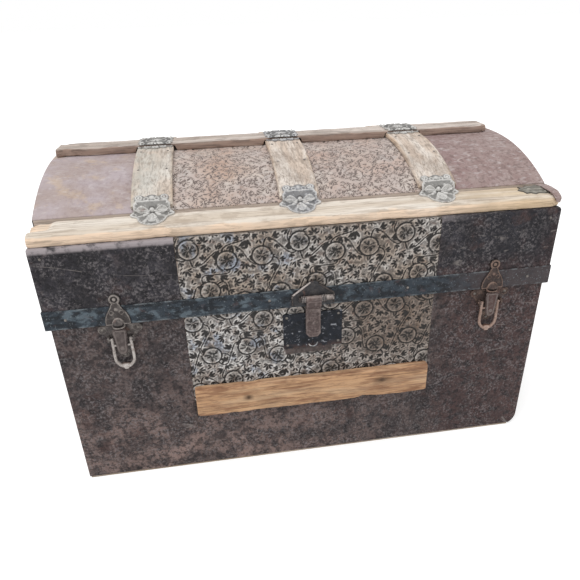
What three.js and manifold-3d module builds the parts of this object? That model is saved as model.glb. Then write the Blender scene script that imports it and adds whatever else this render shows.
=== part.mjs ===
// A low dome-top trunk of pine boards under tin sheet, with wooden slats, bent hoops and sheet-iron
// clamps, a hasp lock, two draw latches, leather end handles and two butt hinges at the back.
// Millimetres. +X is to the right seen from the front, +Y to the back, +Z up.
// The origin is the centre of the base, on the floor.
import * as THREE from "three";
import { mergeVertices } from "three/addons/utils/BufferGeometryUtils.js";
import Module from "manifold-3d";

const wasm = await Module();
wasm.setup();

// Overall sizes
const lidWidth = 762;
const lidDepth = 500;
const bodyEndInset = 5;
const bodyFrontInset = 3;
const partingHeight = 289;
const lidWallHeight = 123;
const crownRise = 71;
const springDrop = 12;
const domePowerShare = 2.4;

// Sheet and board thicknesses
const boardThickness = 12;
const bottomThickness = 10;
const deckThickness = 9;
const tinThickness = 1;
const bandThickness = 1.2;
const fittingThickness = 1.6;

// Clearances
const fitGap = 0.3;
const partingGap = 0.3;
const runningGap = 0.4;
const overrun = 4;

// Tin sheets
const tinFoot = 4;
const footRadii = { left: 6, right: 24 };
const tinFold = 12;
const foldRound = 4;
const panelHalfWidth = 192;
const frontShift = 3;
const bandHeight = 30;

// Slats and hoops
const rimSlatSetback = 7;
const rimSlatDepth = 46;
const rimSlatHeight = 20;
const rimSlatFall = 5;
const rimSlatRound = 8;
const crestSlatWidth = 50;
const crestSlatThickness = 13;
const crestSlatLeftStop = 5;
const crestSlatRightStop = 17;
const slatChamfer = 2.5;
const hoopWidth = 59;
const hoopThickness = 8;
const hoopSpacing = 212;
const hoopShift = -5;
const lowerSlatFoot = 111;
const lowerSlatHeight = 52;
const lowerSlatThickness = 13;
const lowerSlatHalfWidth = 189;
const sheetSeamHeight = 134;

// Clamps where hoops cross the slats
const clampThickness = 2;
const clampWidth = 51;
const clampShoulderWidth = 62;
const clampShoulderLength = 4;
const clampTongueWidth = 39;
const clampOnHoop = 16;
const clampOnSlat = 38;
const crestClampWidth = 57;
const crestClampReach = 13;
const cornerClampLength = 52;
const cornerClampTaper = 17;
const cornerClampDepth = 31;

// Hasp and its mount
const haspWidth = 23;
const haspThickness = 2.5;
const haspAxisHeight = 15;
const haspBarrelRadius = 4.5;
const haspReach = 68;
const haspChamfer = 5;
const haspCrank = 7.5;
const haspCrankStart = 11;
const haspCrankEnd = 20;
const haspTipLift = 2;
const haspPinRadius = 1.8;
const haspEarWidth = 7;
const haspEarHeight = 9;
const haspMountWidth = 66;
const haspMountEaves = 21;
const haspMountApex = 42;
const haspMountFoot = 2.5;
const haspMountApexWidth = 8;
const pinHeadRadius = 3.2;
const pinHeadLength = 1.5;

// Lock
const lockPlateWidth = 92;
const lockPlateHeight = 61;
const lockPlateDrop = 13;
const lockCaseWidth = 48;
const lockCaseHeight = 36;
const lockCaseDepth = 9.2;
const lockCaseFoot = 15;
const lugWidth = 5;
const lugHeight = 16;
const lugFoot = 8;
const lugWall = 1.6;
const keywayDip = 4.5;
const boltLength = 17;
const boltHeight = 3.6;
const boltDepth = 3.2;
const boltTravel = 9;
const boltRetreat = 2;
const keyholeRadius = 1.8;
const keyholeHeight = 9;
const keyholeBlade = 1.8;
const keyholeBladeLength = 6;

// Draw latches
const latchSpacing = 284;
const latchPivotDrop = 23;
const latchPivotOut = 5.6;
const latchCrankRadius = 10;
const latchBaseHalfWidth = 25;
const latchLobeRadius = 7;
const latchWaistHalfWidth = 11;
const latchWaistDrop = 38;
const latchFootDrop = 58;
const latchTopDrop = 1.5;
const latchEarThickness = 2.8;
const latchEarRadius = 4.2;
const bailWireRadius = 2.4;
const bailHalfWidth = 13.2;
const bailBellyShare = 1.03;
const bailLength = 52;
const bailTipWidth = 13;
const bailTipHeight = 9;
const bailTipThickness = 3.4;
const bailPivotRadius = 1.6;
const crossbarRadius = 1.5;
const tongueFootWidth = 14;
const tongueThickness = 2.2;
const tongueTopDrop = 5;
const tongueFootDrop = 46;
const tongueCurlRadius = 3.4;
const tongueCurlWidth = 14;
const catchHalfWidth = 18;
const catchNeckHalfWidth = 7;
const catchNeckRise = 34;
const catchTopRise = 50;
const catchHoodWidth = 19;
const catchHoodRise = 13;
const catchHoodDrop = 3;
const catchHoodOut = 7;
const catchHoodWall = 1.5;

// End handles
const strapWidth = 26;
const strapThickness = 5;
const strapHalfLength = 116;
const strapArchHalfLength = 86;
const strapRise = 34;
const strapHeight = 196;
const loopLength = 26;
const loopFlange = 12;
const loopThickness = 2;

// Butt hinges
const hingeSpacing = 232;
const hingeWidth = 60;
const hingeLeafHeight = 44;
const hingeLeafThickness = 2;
const hingeKnuckleRadius = 4.5;
const hingePinRadius = 1.8;
const hingeMiddleWidth = 20;
const hingeWebHeight = 3.4;

// Fineness of round stretches
const domeSteps = 28;
const clampSteps = 6;
const roundSteps = 12;
const wireSides = 8;
const bailSteps = 26;

// Sizes worked out from those above
const halfLid = lidWidth / 2;
const lidFront = -lidDepth / 2;
const lidBack = lidDepth / 2;
const halfBody = halfLid - bodyEndInset;
const bodyFront = lidFront + bodyFrontInset;
const bodyBack = lidBack - bodyFrontInset;
const skin = tinThickness + fitGap;
const bodyTop = partingHeight - partingGap;
const lidFoot = partingHeight + partingGap;
const seatHeight = partingHeight + lidWallHeight;
const deckEdge = lidBack - rimSlatSetback - rimSlatDepth - fitGap;
const hoopCentres = { left: hoopShift - hoopSpacing, middle: hoopShift, right: hoopShift + hoopSpacing };
const panelLeft = frontShift - panelHalfWidth;
const panelRight = frontShift + panelHalfWidth;
const sides = { left: -1, right: 1 };

// Height of the dome's outer tin face above the floor, at a distance y from the middle.
function domeHeight(y) {
  const share = Math.abs(y) / lidBack;
  return seatHeight - springDrop + (crownRise + springDrop) * (1 - share ** domePowerShare);
}

// Finishes

const finishes = {
  pine: { color: 0x9c7a50, roughness: 0.85, metalness: 0 },
  slat: { color: 0xc8b493, roughness: 0.85, metalness: 0 },
  tin: { color: 0x4e4444, roughness: 0.6, metalness: 0.6 },
  domeTin: { color: 0x857470, roughness: 0.6, metalness: 0.5 },
  embossed: { color: 0x8d877e, roughness: 0.5, metalness: 0.7 },
  band: { color: 0x2c3840, roughness: 0.5, metalness: 0.7 },
  iron: { color: 0x77797a, roughness: 0.5, metalness: 0.8 },
  hasp: { color: 0x7b6a63, roughness: 0.55, metalness: 0.8 },
  lock: { color: 0x23282e, roughness: 0.5, metalness: 0.7 },
  wire: { color: 0xa59b94, roughness: 0.4, metalness: 0.9 },
  leather: { color: 0x4b2e1e, roughness: 0.7, metalness: 0 },
};

// Solids and meshes

// Turns a closed three.js geometry into a solid that can be joined and cut.
function solid(geometry) {
  const bare = geometry.clone();
  bare.deleteAttribute("normal");
  bare.deleteAttribute("uv");
  const merged = mergeVertices(bare, fitGap / 1000);
  const vertProperties = new Float32Array(merged.attributes.position.array);
  const triVerts = new Uint32Array(merged.index.array);
  return new wasm.Manifold(new wasm.Mesh({ numProp: 3, vertProperties, triVerts }));
}

function join(...solids) {
  return solids.reduce((whole, piece) => whole.add(piece));
}

function cut(whole, ...solids) {
  return solids.reduce((rest, piece) => rest.subtract(piece), whole);
}

// Turns a solid back into a flat-shaded geometry.
function geometryOf(body) {
  const mesh = body.getMesh();
  const geometry = new THREE.BufferGeometry();
  geometry.setAttribute("position", new THREE.BufferAttribute(mesh.vertProperties, mesh.numProp));
  geometry.setIndex(new THREE.BufferAttribute(mesh.triVerts, 1));
  const flat = geometry.toNonIndexed();
  flat.computeVertexNormals();
  return flat;
}

// Adds a named piece to a group.
function place(group, name, finish, body) {
  const material = new THREE.MeshStandardMaterial(finishes[finish]);
  const mesh = new THREE.Mesh(geometryOf(body), material);
  mesh.name = name;
  group.add(mesh);
}

// A block between two corners.
function block(x0, x1, y0, y1, z0, z1) {
  const geometry = new THREE.BoxGeometry(x1 - x0, y1 - y0, z1 - z0);
  geometry.translate((x0 + x1) / 2, (y0 + y1) / 2, (z0 + z1) / 2);
  return solid(geometry);
}

function shapeOf(points) {
  const shape = new THREE.Shape(points.map(([u, v]) => new THREE.Vector2(u, v)));
  return shape;
}

function extruded(points, depth) {
  return new THREE.ExtrudeGeometry(shapeOf(points), { depth, bevelEnabled: false });
}

// An outline in (y, z) drawn out along X.
function alongX(points, x0, x1) {
  const geometry = extruded(points, x1 - x0);
  geometry.applyMatrix4(new THREE.Matrix4().set(0, 0, 1, x0, 1, 0, 0, 0, 0, 1, 0, 0, 0, 0, 0, 1));
  return solid(geometry);
}

// An outline in (x, z) drawn out along Y.
function alongY(points, y0, y1) {
  const geometry = extruded(points, y1 - y0);
  geometry.applyMatrix4(new THREE.Matrix4().set(1, 0, 0, 0, 0, 0, -1, y1, 0, 1, 0, 0, 0, 0, 0, 1));
  return solid(geometry);
}

// An outline in (x, y) drawn out along Z.
function alongZ(points, z0, z1) {
  const geometry = extruded(points, z1 - z0);
  geometry.translate(0, 0, z0);
  return solid(geometry);
}

// A round bar along X.
function barX(radius, x0, x1, y, z, steps = roundSteps) {
  const geometry = new THREE.CylinderGeometry(radius, radius, x1 - x0, steps);
  geometry.rotateZ(Math.PI / 2);
  geometry.translate((x0 + x1) / 2, y, z);
  return solid(geometry);
}

// A round bar along Y.
function barY(radius, x, y0, y1, z) {
  const geometry = new THREE.CylinderGeometry(radius, radius, y1 - y0, roundSteps);
  geometry.translate(x, (y0 + y1) / 2, z);
  return solid(geometry);
}

// Points of an arc from one angle to another, both in turns of a circle.
function arc(u, v, radius, fromTurn, toTurn, steps = clampSteps) {
  return Array.from({ length: steps + 1 }, (_, i) => {
    const angle = 2 * Math.PI * (fromTurn + ((toTurn - fromTurn) * i) / steps);
    return [u + radius * Math.cos(angle), v + radius * Math.sin(angle)];
  });
}

// Closes the right half of an outline, given from its foot upwards, with its mirror image about u.
function mirrored(half, u = 0) {
  const right = half.map(([a, b]) => [u + a, b]);
  const left = half.filter(([a]) => a > 0).map(([a, b]) => [u - a, b]);
  return [...right, ...left.reverse()];
}

// Turns an outline in (y, z) on the back edge round to the front edge.
function facingFront(outline) {
  return outline.map(([y, z]) => [-y, z]).reverse();
}

// An outline in (y, z) between two levels above or below the dome's outer face.
function domeStrip(yFrom, yTo, low, high, steps = domeSteps) {
  const at = (i) => yFrom + ((yTo - yFrom) * i) / steps;
  const lower = Array.from({ length: steps + 1 }, (_, i) => [at(i), domeHeight(at(i)) + low]);
  const upper = Array.from({ length: steps + 1 }, (_, i) => [at(i), domeHeight(at(i)) + high]);
  return [...lower, ...upper.reverse()];
}

const trunk = new THREE.Group();
const body = new THREE.Group();
const lid = new THREE.Group();
lid.name = "lid_assembly";
body.name = "body_assembly";
trunk.add(body, lid);

// Lock places, which the front board and the embossed tin are cut for
const frontFace = bodyFront - fitGap;
const lockPlateTop = partingHeight - lockPlateDrop;
const lockPlateFoot = lockPlateTop - lockPlateHeight;
const lockCaseBottom = lockPlateFoot + lockCaseFoot;
const lockCaseTop = lockCaseBottom + lockCaseHeight;
const lockCaseBack = frontFace + lockCaseDepth;
const haspAxisY = lidFront - 2 * fitGap - bandThickness - fittingThickness - runningGap - haspBarrelRadius;
const haspAxisZ = partingHeight + haspAxisHeight;
const haspTipZ = haspAxisZ - haspReach;
const lugBottom = haspTipZ + lugFoot;
const lugBack = lockCaseBack - lugWall;
const keywayHalf = lugWidth / 2 + 2 * fitGap;
const keywayBottom = lugBottom - keywayDip;
const boltZ = lugBottom + lugHeight / 2;
const boltFront = frontFace + lugWall + runningGap;

function lockOpening() {
  const pocket = block(
    frontShift - lockCaseWidth / 2 - fitGap,
    frontShift + lockCaseWidth / 2 + fitGap,
    bodyFront - overrun,
    lockCaseBack + fitGap,
    lockCaseBottom - fitGap,
    lockCaseTop + fitGap,
  );
  return join(pocket, keyway(bodyTop + overrun));
}

function keyway(top) {
  const [x0, x1] = [frontShift - keywayHalf, frontShift + keywayHalf];
  return block(x0, x1, bodyFront - overrun, lugBack + 2 * fitGap, keywayBottom, top);
}

// Body boards

const boardEnd = halfBody - skin;
const boardFront = bodyFront + skin;
const boardBack = bodyBack - skin;
const wallFoot = bottomThickness + fitGap;
const endBoardFront = boardFront + boardThickness + fitGap;
const endBoardBack = boardBack - boardThickness - fitGap;

// Points of an end's rounded lower corner in (x, z), from the wall down to the tin's foot, inset from its face.
function cornerArc(side, inset) {
  const radius = footRadii[side];
  const reach = radius - inset;
  const stop = Math.asin((radius - tinFoot) / reach) / (2 * Math.PI);
  const points = arc(halfBody - radius, radius, reach, 0, -stop);
  return points.map(([x, z], i) => [sides[side] * x, i < points.length - 1 ? z : tinFoot]);
}

// All that lies outside an end's rounded lower corner.
function outsideCorner(side, inset) {
  const curve = cornerArc(side, inset);
  const far = sides[side] * (halfBody + overrun);
  const [inner] = curve.at(-1);
  const outline = [...curve, [inner, -overrun], [far, -overrun], [far, footRadii[side]]];
  return alongY(outline, bodyFront - overrun, bodyBack + overrun);
}

const boardCorners = Object.keys(sides).map((side) => outsideCorner(side, skin));

const bottom = block(-boardEnd, boardEnd, boardFront, boardBack, 0, bottomThickness);
place(body, "bottom_board", "pine", cut(bottom, ...boardCorners));
const frontBoard = block(-boardEnd, boardEnd, boardFront, boardFront + boardThickness, wallFoot, bodyTop);
place(body, "front_board", "pine", cut(frontBoard, lockOpening(), ...boardCorners));
const backBoard = block(-boardEnd, boardEnd, boardBack - boardThickness, boardBack, wallFoot, bodyTop);
place(body, "back_board", "pine", cut(backBoard, ...boardCorners));
for (const [side, sign] of Object.entries(sides)) {
  const xs = [sign * boardEnd, sign * (boardEnd - boardThickness)].sort((a, b) => a - b);
  const endBoard = block(...xs, endBoardFront, endBoardBack, wallFoot, bodyTop);
  place(body, `end_board_${side}`, "pine", cut(endBoard, ...boardCorners));
}

// Body tin: one sheet wraps each end from the front panel's seam to the middle of the back, bent in at the
// end's foot

function bodyWrap(side) {
  const sign = sides[side];
  const seam = frontShift + sign * (panelHalfWidth + fitGap / 2);
  const end = sign * halfBody;
  const inner = sign * (halfBody - tinThickness);
  const middle = (sign * fitGap) / 2;
  const past = -sign * overrun;
  const outside = [[end, bodyTop], ...cornerArc(side, 0), [middle, tinFoot], [middle, bodyTop]];
  const curve = cornerArc(side, tinThickness);
  const [heel] = curve.at(-1);
  const over = bodyTop + overrun;
  const inside = [[inner, over], ...curve, [heel, -overrun], [past, -overrun], [past, over]];
  const front = [past, seam].sort((a, b) => a - b);
  return cut(
    alongY(outside, bodyFront, bodyBack),
    alongY(inside, bodyFront + tinThickness, bodyBack - tinThickness),
    block(...front, bodyFront - overrun, 0, -overrun, over),
  );
}

for (const side of Object.keys(sides)) {
  place(body, `body_tin_${side}`, "tin", bodyWrap(side));
}

function frontSheet(z0, z1) {
  const [x0, x1] = [panelLeft + fitGap / 2, panelRight - fitGap / 2];
  return block(x0, x1, bodyFront, bodyFront + tinThickness, z0, z1);
}

place(body, "body_tin_embossed", "embossed", cut(frontSheet(sheetSeamHeight, bodyTop), lockOpening()));
place(body, "body_tin_lower", "tin", frontSheet(tinFoot, sheetSeamHeight - fitGap));

// Lower front slat, with eased long edges
{
  const [y0, y1] = [frontFace - lowerSlatThickness, frontFace];
  const top = lowerSlatFoot + lowerSlatHeight;
  const outline = [
    [y1, lowerSlatFoot],
    [y1, top],
    [y0 + slatChamfer, top],
    [y0, top - slatChamfer],
    [y0, lowerSlatFoot + slatChamfer],
    [y0 + slatChamfer, lowerSlatFoot],
  ];
  const [x0, x1] = [frontShift - lowerSlatHalfWidth, frontShift + lowerSlatHalfWidth];
  place(body, "lower_slat", "slat", alongX(outline, x0, x1));
}

// Lock: a face plate with its case behind, a keyway open at the top for the hasp's lug, and a bolt
{
  const [x0, x1] = [frontShift - lockPlateWidth / 2, frontShift + lockPlateWidth / 2];
  const plate = block(x0, x1, frontFace - fittingThickness, frontFace, lockPlateFoot, lockPlateTop);
  const [c0, c1] = [frontShift - lockCaseWidth / 2, frontShift + lockCaseWidth / 2];
  const box = block(c0, c1, frontFace - fittingThickness / 2, lockCaseBack, lockCaseBottom, lockCaseTop);
  const boltStart = frontShift - lugWidth / 2 - boltRetreat - boltLength;
  const channel = block(
    boltStart - runningGap,
    frontShift + boltTravel,
    boltFront - runningGap,
    boltFront + boltDepth + runningGap,
    boltZ - boltHeight / 2 - runningGap,
    boltZ + boltHeight / 2 + runningGap,
  );
  const keyholeZ = lockPlateFoot + keyholeHeight;
  const [k0, k1] = [frontShift - keyholeBlade / 2, frontShift + keyholeBlade / 2];
  const [front, back] = [frontFace - overrun, frontFace + fittingThickness];
  const barrel = barY(keyholeRadius, frontShift, front, back, keyholeZ);
  const blade = block(k0, k1, front, back, keyholeZ - keyholeBladeLength, keyholeZ);
  const whole = cut(join(plate, box), keyway(lockPlateTop + overrun), channel, barrel, blade);
  place(body, "lock_case", "lock", whole);
  const bolt = block(
    boltStart,
    boltStart + boltLength,
    boltFront,
    boltFront + boltDepth,
    boltZ - boltHeight / 2,
    boltZ + boltHeight / 2,
  );
  place(body, "lock_bolt", "wire", bolt);
}

// Draw latches

const latchAxisY = frontFace - fittingThickness - latchPivotOut;
const latchAxisZ = partingHeight - latchPivotDrop;
const crossbarZ = latchAxisZ - latchCrankRadius;
const latchEarInset = bailHalfWidth + bailWireRadius + 2 * runningGap;
const tongueWidth = 2 * (bailHalfWidth - bailWireRadius - 2 * runningGap);
const bailBellyHalfWidth = bailHalfWidth * bailBellyShare;

// A shield-shaped plate with two lobes at the top and two ears for the bail.
function latchBase(x) {
  const top = partingHeight - latchTopDrop;
  const lobeZ = top - latchLobeRadius;
  const footZ = partingHeight - latchFootDrop;
  const waistZ = partingHeight - latchWaistDrop;
  const half = [
    ...arc(0, footZ + latchWaistHalfWidth, latchWaistHalfWidth, -0.25, 0),
    [latchWaistHalfWidth, waistZ],
    ...arc(latchBaseHalfWidth, lobeZ, latchLobeRadius, -0.25, 0.25),
  ];
  const plate = alongY(mirrored(half, x), frontFace - fittingThickness, frontFace);
  const ears = [-1, 1].map((sign) => {
    const near = x + sign * latchEarInset;
    const far = near + sign * latchEarThickness;
    const [x0, x1] = [Math.min(near, far), Math.max(near, far)];
    const cheek = block(x0, x1, latchAxisY, frontFace, latchAxisZ - latchEarRadius, latchAxisZ + latchEarRadius);
    const round = barX(latchEarRadius, x0, x1, latchAxisY, latchAxisZ);
    const hole = barX(bailPivotRadius + runningGap, x0 - overrun, x1 + overrun, latchAxisY, latchAxisZ);
    return cut(join(cheek, round), hole);
  });
  return join(plate, ...ears);
}

// A wire loop that swings up from its pivots, with a pointed thumb piece and a bar for the tongue.
function latchBail(x) {
  const tipZ = latchAxisZ - bailLength;
  const shares = [
    [bailHalfWidth, 0],
    [bailHalfWidth, 0.3],
    [bailBellyHalfWidth, 0.55],
    [bailBellyHalfWidth * 0.92, 0.76],
    [bailHalfWidth * 0.5, 0.91],
  ];
  const right = shares.map(([u, share]) => [u, latchAxisZ - share * (bailLength - bailWireRadius)]);
  const left = right.map(([u, z]) => [-u, z]).reverse();
  const middle = [0, tipZ + 2 * bailWireRadius];
  const points = [...right, middle, ...left].map(([u, z]) => new THREE.Vector3(x + u, latchAxisY, z));
  const path = new THREE.CatmullRomCurve3(points);
  const turn = 1 / (2 * wireSides);
  const section = shapeOf(arc(0, 0, bailWireRadius, turn, 1 - turn, wireSides - 1));
  const wire = new THREE.ExtrudeGeometry(section, { steps: bailSteps, bevelEnabled: false, extrudePath: path });
  const tip = [
    [0, tipZ],
    [bailTipWidth / 4, tipZ],
    [bailTipWidth / 2, tipZ + bailTipHeight],
  ];
  const [y0, y1] = [latchAxisY - bailTipThickness / 2, latchAxisY + bailTipThickness / 2];
  const thumb = alongY(mirrored(tip, x), y0, y1);
  const crossbar = barX(crossbarRadius, x - bailHalfWidth, x + bailHalfWidth, latchAxisY, crossbarZ);
  const reach = latchEarInset + latchEarThickness;
  const pivots = [-1, 1].map((sign) => {
    const [near, far] = [x + sign * bailHalfWidth, x + sign * reach];
    return barX(bailPivotRadius, Math.min(near, far), Math.max(near, far), latchAxisY, latchAxisZ);
  });
  return join(solid(wire), thumb, crossbar, ...pivots);
}

// The hook plate, curled round the bail's bar at its foot.
function latchTongue(x) {
  const top = partingHeight - tongueTopDrop;
  const footZ = partingHeight - tongueFootDrop;
  const footRadius = tongueFootWidth / 2;
  const half = [
    ...arc(0, footZ + footRadius, footRadius, -0.25, 0),
    [tongueWidth / 2, top - tongueThickness],
    [tongueWidth / 2 - tongueThickness, top],
  ];
  const back = latchAxisY - tongueCurlRadius + tongueThickness / 2;
  const plate = alongY(mirrored(half, x), back - tongueThickness, back);
  const [x0, x1] = [x - tongueCurlWidth / 2, x + tongueCurlWidth / 2];
  const curl = barX(tongueCurlRadius, x0, x1, latchAxisY, crossbarZ);
  const hole = barX(crossbarRadius + runningGap, x0 - overrun, x1 + overrun, latchAxisY, crossbarZ);
  return cut(join(plate, curl), hole);
}

// The lid's catch: a bell-shaped plate with a hood that is open below.
function latchCatch(x) {
  const face = lidFront - fitGap - bandThickness - fitGap;
  const foot = partingHeight + partingGap;
  const neckZ = partingHeight + catchNeckRise;
  const topZ = partingHeight + catchTopRise - catchNeckHalfWidth;
  const half = [
    [catchHalfWidth, foot],
    [catchHalfWidth, foot + catchHoodDrop],
    [catchNeckHalfWidth, neckZ],
    ...arc(0, topZ, catchNeckHalfWidth, 0, 0.25),
  ];
  const plate = alongY(mirrored(half, x), face - fittingThickness, face);
  const hood = (shrink) => {
    const geometry = new THREE.SphereGeometry(1, 2 * roundSteps, roundSteps);
    const out = catchHoodOut + fittingThickness - shrink;
    geometry.scale(catchHoodWidth / 2 - shrink, out, catchHoodRise + catchHoodDrop - shrink);
    geometry.translate(x, face, partingHeight - catchHoodDrop);
    return solid(geometry);
  };
  const [x0, x1] = [x - catchHoodWidth, x + catchHoodWidth];
  const front = face - 2 * catchHoodOut;
  const hoodFoot = partingHeight - catchHoodDrop;
  const under = block(x0, x1, front, face + 2 * catchHoodOut, hoodFoot - 2 * catchHoodRise, hoodFoot);
  const behind = block(x0, x1, face, face + 2 * catchHoodOut, hoodFoot - overrun, topZ);
  const hollow = cut(hood(catchHoodWall), behind);
  return cut(join(plate, cut(hood(0), under, behind)), hollow);
}

for (const [side, sign] of Object.entries(sides)) {
  const x = frontShift + sign * latchSpacing;
  place(body, `latch_base_${side}`, "iron", latchBase(x));
  place(body, `latch_bail_${side}`, "wire", latchBail(x));
  place(body, `latch_tongue_${side}`, "hasp", latchTongue(x));
  place(lid, `latch_catch_${side}`, "iron", latchCatch(x));
}

// End handles: a leather strap held at each end by an iron loop

function strapOffset(y) {
  const share = Math.min(Math.abs(y) / strapArchHalfLength, 1);
  return (strapRise * (1 + Math.cos(Math.PI * share))) / 2;
}

function handleStrap(sign) {
  const inner = halfBody + 2 * fitGap;
  const steps = domeSteps;
  const at = (i) => -strapHalfLength + (2 * strapHalfLength * i) / steps;
  const line = (level) =>
    Array.from({ length: steps + 1 }, (_, i) => [sign * (inner + level + strapOffset(at(i))), at(i)]);
  const outline = [...line(0), ...line(strapThickness).reverse()];
  return alongZ(outline, strapHeight - strapWidth / 2, strapHeight + strapWidth / 2);
}

function handleLoop(sign, y) {
  const inner = halfBody + fitGap;
  const bridge = inner + fitGap + strapThickness + runningGap;
  const half = strapWidth / 2 + runningGap;
  const points = [
    [inner, -half - loopThickness - loopFlange],
    [inner + loopThickness, -half - loopThickness - loopFlange],
    [inner + loopThickness, -half - loopThickness],
    [bridge + loopThickness, -half - loopThickness],
    [bridge + loopThickness, half + loopThickness],
    [inner + loopThickness, half + loopThickness],
    [inner + loopThickness, half + loopThickness + loopFlange],
    [inner, half + loopThickness + loopFlange],
    [inner, half],
    [bridge, half],
    [bridge, -half],
    [inner, -half],
  ];
  const outline = points.map(([x, z]) => [sign * x, strapHeight + z]);
  return alongY(outline, y - loopLength / 2, y + loopLength / 2);
}

for (const [side, sign] of Object.entries(sides)) {
  const loopY = strapHalfLength - loopLength / 2;
  place(body, `handle_strap_${side}`, "leather", handleStrap(sign));
  place(body, `handle_loop_${side}_front`, "iron", handleLoop(sign, -loopY));
  place(body, `handle_loop_${side}_back`, "iron", handleLoop(sign, loopY));
}

// Butt hinges on the back

const hingeAxisY = lidBack + fitGap + hingeLeafThickness + hingeKnuckleRadius - tinThickness;
const hingeAxisZ = partingHeight;
const hingeBore = hingePinRadius + runningGap;

function hingeBodyLeaf(x) {
  const [x0, x1] = [x - hingeWidth / 2, x + hingeWidth / 2];
  const face = bodyBack + fitGap;
  const plate = block(x0, x1, face, face + hingeLeafThickness, bodyTop - hingeLeafHeight, bodyTop);
  const knuckles = [-1, 1].map((sign) => {
    const near = x + sign * (hingeMiddleWidth / 2 + fitGap);
    const far = x + (sign * hingeWidth) / 2;
    const [k0, k1] = [Math.min(near, far), Math.max(near, far)];
    const knuckle = barX(hingeKnuckleRadius, k0, k1, hingeAxisY, hingeAxisZ);
    const web = block(k0, k1, face, hingeAxisY, bodyTop - hingeWebHeight, bodyTop);
    return join(knuckle, web);
  });
  const bore = barX(hingeBore, x0 - overrun, x1 + overrun, hingeAxisY, hingeAxisZ);
  return cut(join(plate, ...knuckles), bore);
}

function hingeLidLeaf(x) {
  const [x0, x1] = [x - hingeWidth / 2, x + hingeWidth / 2];
  const [m0, m1] = [x - hingeMiddleWidth / 2, x + hingeMiddleWidth / 2];
  const face = lidBack + fitGap;
  const foot = hingeAxisZ + hingeKnuckleRadius + 2 * fitGap;
  const plate = block(x0, x1, face, face + hingeLeafThickness, foot, foot + hingeLeafHeight);
  const tab = block(m0, m1, face, face + hingeLeafThickness, hingeAxisZ + 2 * fitGap, foot);
  const knuckle = barX(hingeKnuckleRadius, m0, m1, hingeAxisY, hingeAxisZ);
  const bore = barX(hingeBore, m0 - overrun, m1 + overrun, hingeAxisY, hingeAxisZ);
  return cut(join(plate, tab, knuckle), bore);
}

// A pin with a head past each end of what it runs through.
function headedPin(radius, x0, x1, y, z) {
  const shank = barX(radius, x0 - fitGap, x1 + fitGap, y, z);
  const first = barX(pinHeadRadius, x0 - fitGap - pinHeadLength, x0 - fitGap, y, z);
  const second = barX(pinHeadRadius, x1 + fitGap, x1 + fitGap + pinHeadLength, y, z);
  return join(shank, first, second);
}

for (const [side, sign] of Object.entries(sides)) {
  const x = sign * hingeSpacing;
  const [x0, x1] = [x - hingeWidth / 2, x + hingeWidth / 2];
  place(body, `hinge_leaf_body_${side}`, "iron", hingeBodyLeaf(x));
  place(body, `hinge_pin_${side}`, "wire", headedPin(hingePinRadius, x0, x1, hingeAxisY, hingeAxisZ));
  place(lid, `hinge_leaf_lid_${side}`, "iron", hingeLidLeaf(x));
}

// Lid boards

const lidBoardEnd = halfLid - skin;
const lidBoardFront = lidFront + skin;
const lidBoardBack = lidBack - skin;
const railTop = seatHeight - skin;
const lidEndFront = lidBoardFront + boardThickness + fitGap;
const lidEndBack = lidBoardBack - boardThickness - fitGap;
const deckTop = -skin;
const deckUnder = deckTop - deckThickness;


// A rail's section on the back edge, rounded where the tin folds over it.
function railSection() {
  const round = foldRound - skin;
  return [
    [lidBoardBack - boardThickness, lidFoot],
    [lidBoardBack, lidFoot],
    ...arc(lidBoardBack - round, railTop - round, round, 0, 0.25),
    [lidBoardBack - boardThickness, railTop],
  ];
}

place(lid, "lid_front_rail", "pine", alongX(facingFront(railSection()), -lidBoardEnd, lidBoardEnd));
place(lid, "lid_back_rail", "pine", alongX(railSection(), -lidBoardEnd, lidBoardEnd));

// The outline of an end of the lid: flat seats for the rim slats and the dome between them.
function lidEndOutline(side, edge, seat, level) {
  const arch = domeStrip(-edge, edge, level, level).slice(domeSteps + 1);
  const back = [[0, lidFoot], ...side, [edge, seat]];
  return [...back, ...arch, ...facingFront(back)];
}

for (const [name, sign] of Object.entries(sides)) {
  const xs = [sign * lidBoardEnd, sign * (lidBoardEnd - boardThickness)].sort((a, b) => a - b);
  const side = [[lidEndBack, lidFoot], [lidEndBack, seatHeight]];
  const outline = lidEndOutline(side, deckEdge, seatHeight, deckUnder - fitGap);
  place(lid, `lid_end_${name}`, "pine", alongX(outline, ...xs));
}
place(lid, "lid_deck", "pine", alongX(domeStrip(-deckEdge, deckEdge, deckUnder, deckTop), -lidBoardEnd, lidBoardEnd));

// Lid tin: the front and back sheets fold back under the rim slats

function foldedSheet(sign, x0, x1) {
  const [inner, foldEnd] = [lidBack - tinThickness, lidBack - tinFold];
  const innerRound = foldRound - tinThickness;
  const [roundY, roundZ] = [lidBack - foldRound, seatHeight - foldRound];
  const outline = [
    [inner, lidFoot],
    [lidBack, lidFoot],
    ...arc(roundY, roundZ, foldRound, 0, 0.25),
    [foldEnd, seatHeight],
    [foldEnd, seatHeight - tinThickness],
    ...arc(roundY, roundZ, innerRound, 0.25, 0),
  ];
  return alongX(sign > 0 ? outline : facingFront(outline), x0, x1);
}

function lidWrap(sign) {
  const end = sign * halfLid;
  const inner = sign * (halfLid - tinThickness);
  const seam = frontShift + sign * (panelHalfWidth + fitGap / 2);
  const middle = (sign * fitGap) / 2;
  const side = [[lidBack, lidFoot], ...arc(lidBack - foldRound, seatHeight - foldRound, foldRound, 0, 0.25)];
  const outline = lidEndOutline(side, deckEdge, seatHeight, deckTop);
  const cheek = alongX(outline, Math.min(end, inner), Math.max(end, inner));
  const front = foldedSheet(-1, Math.min(end, seam), Math.max(end, seam));
  const back = foldedSheet(1, Math.min(end, middle), Math.max(end, middle));
  return join(cheek, front, back);
}

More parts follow.
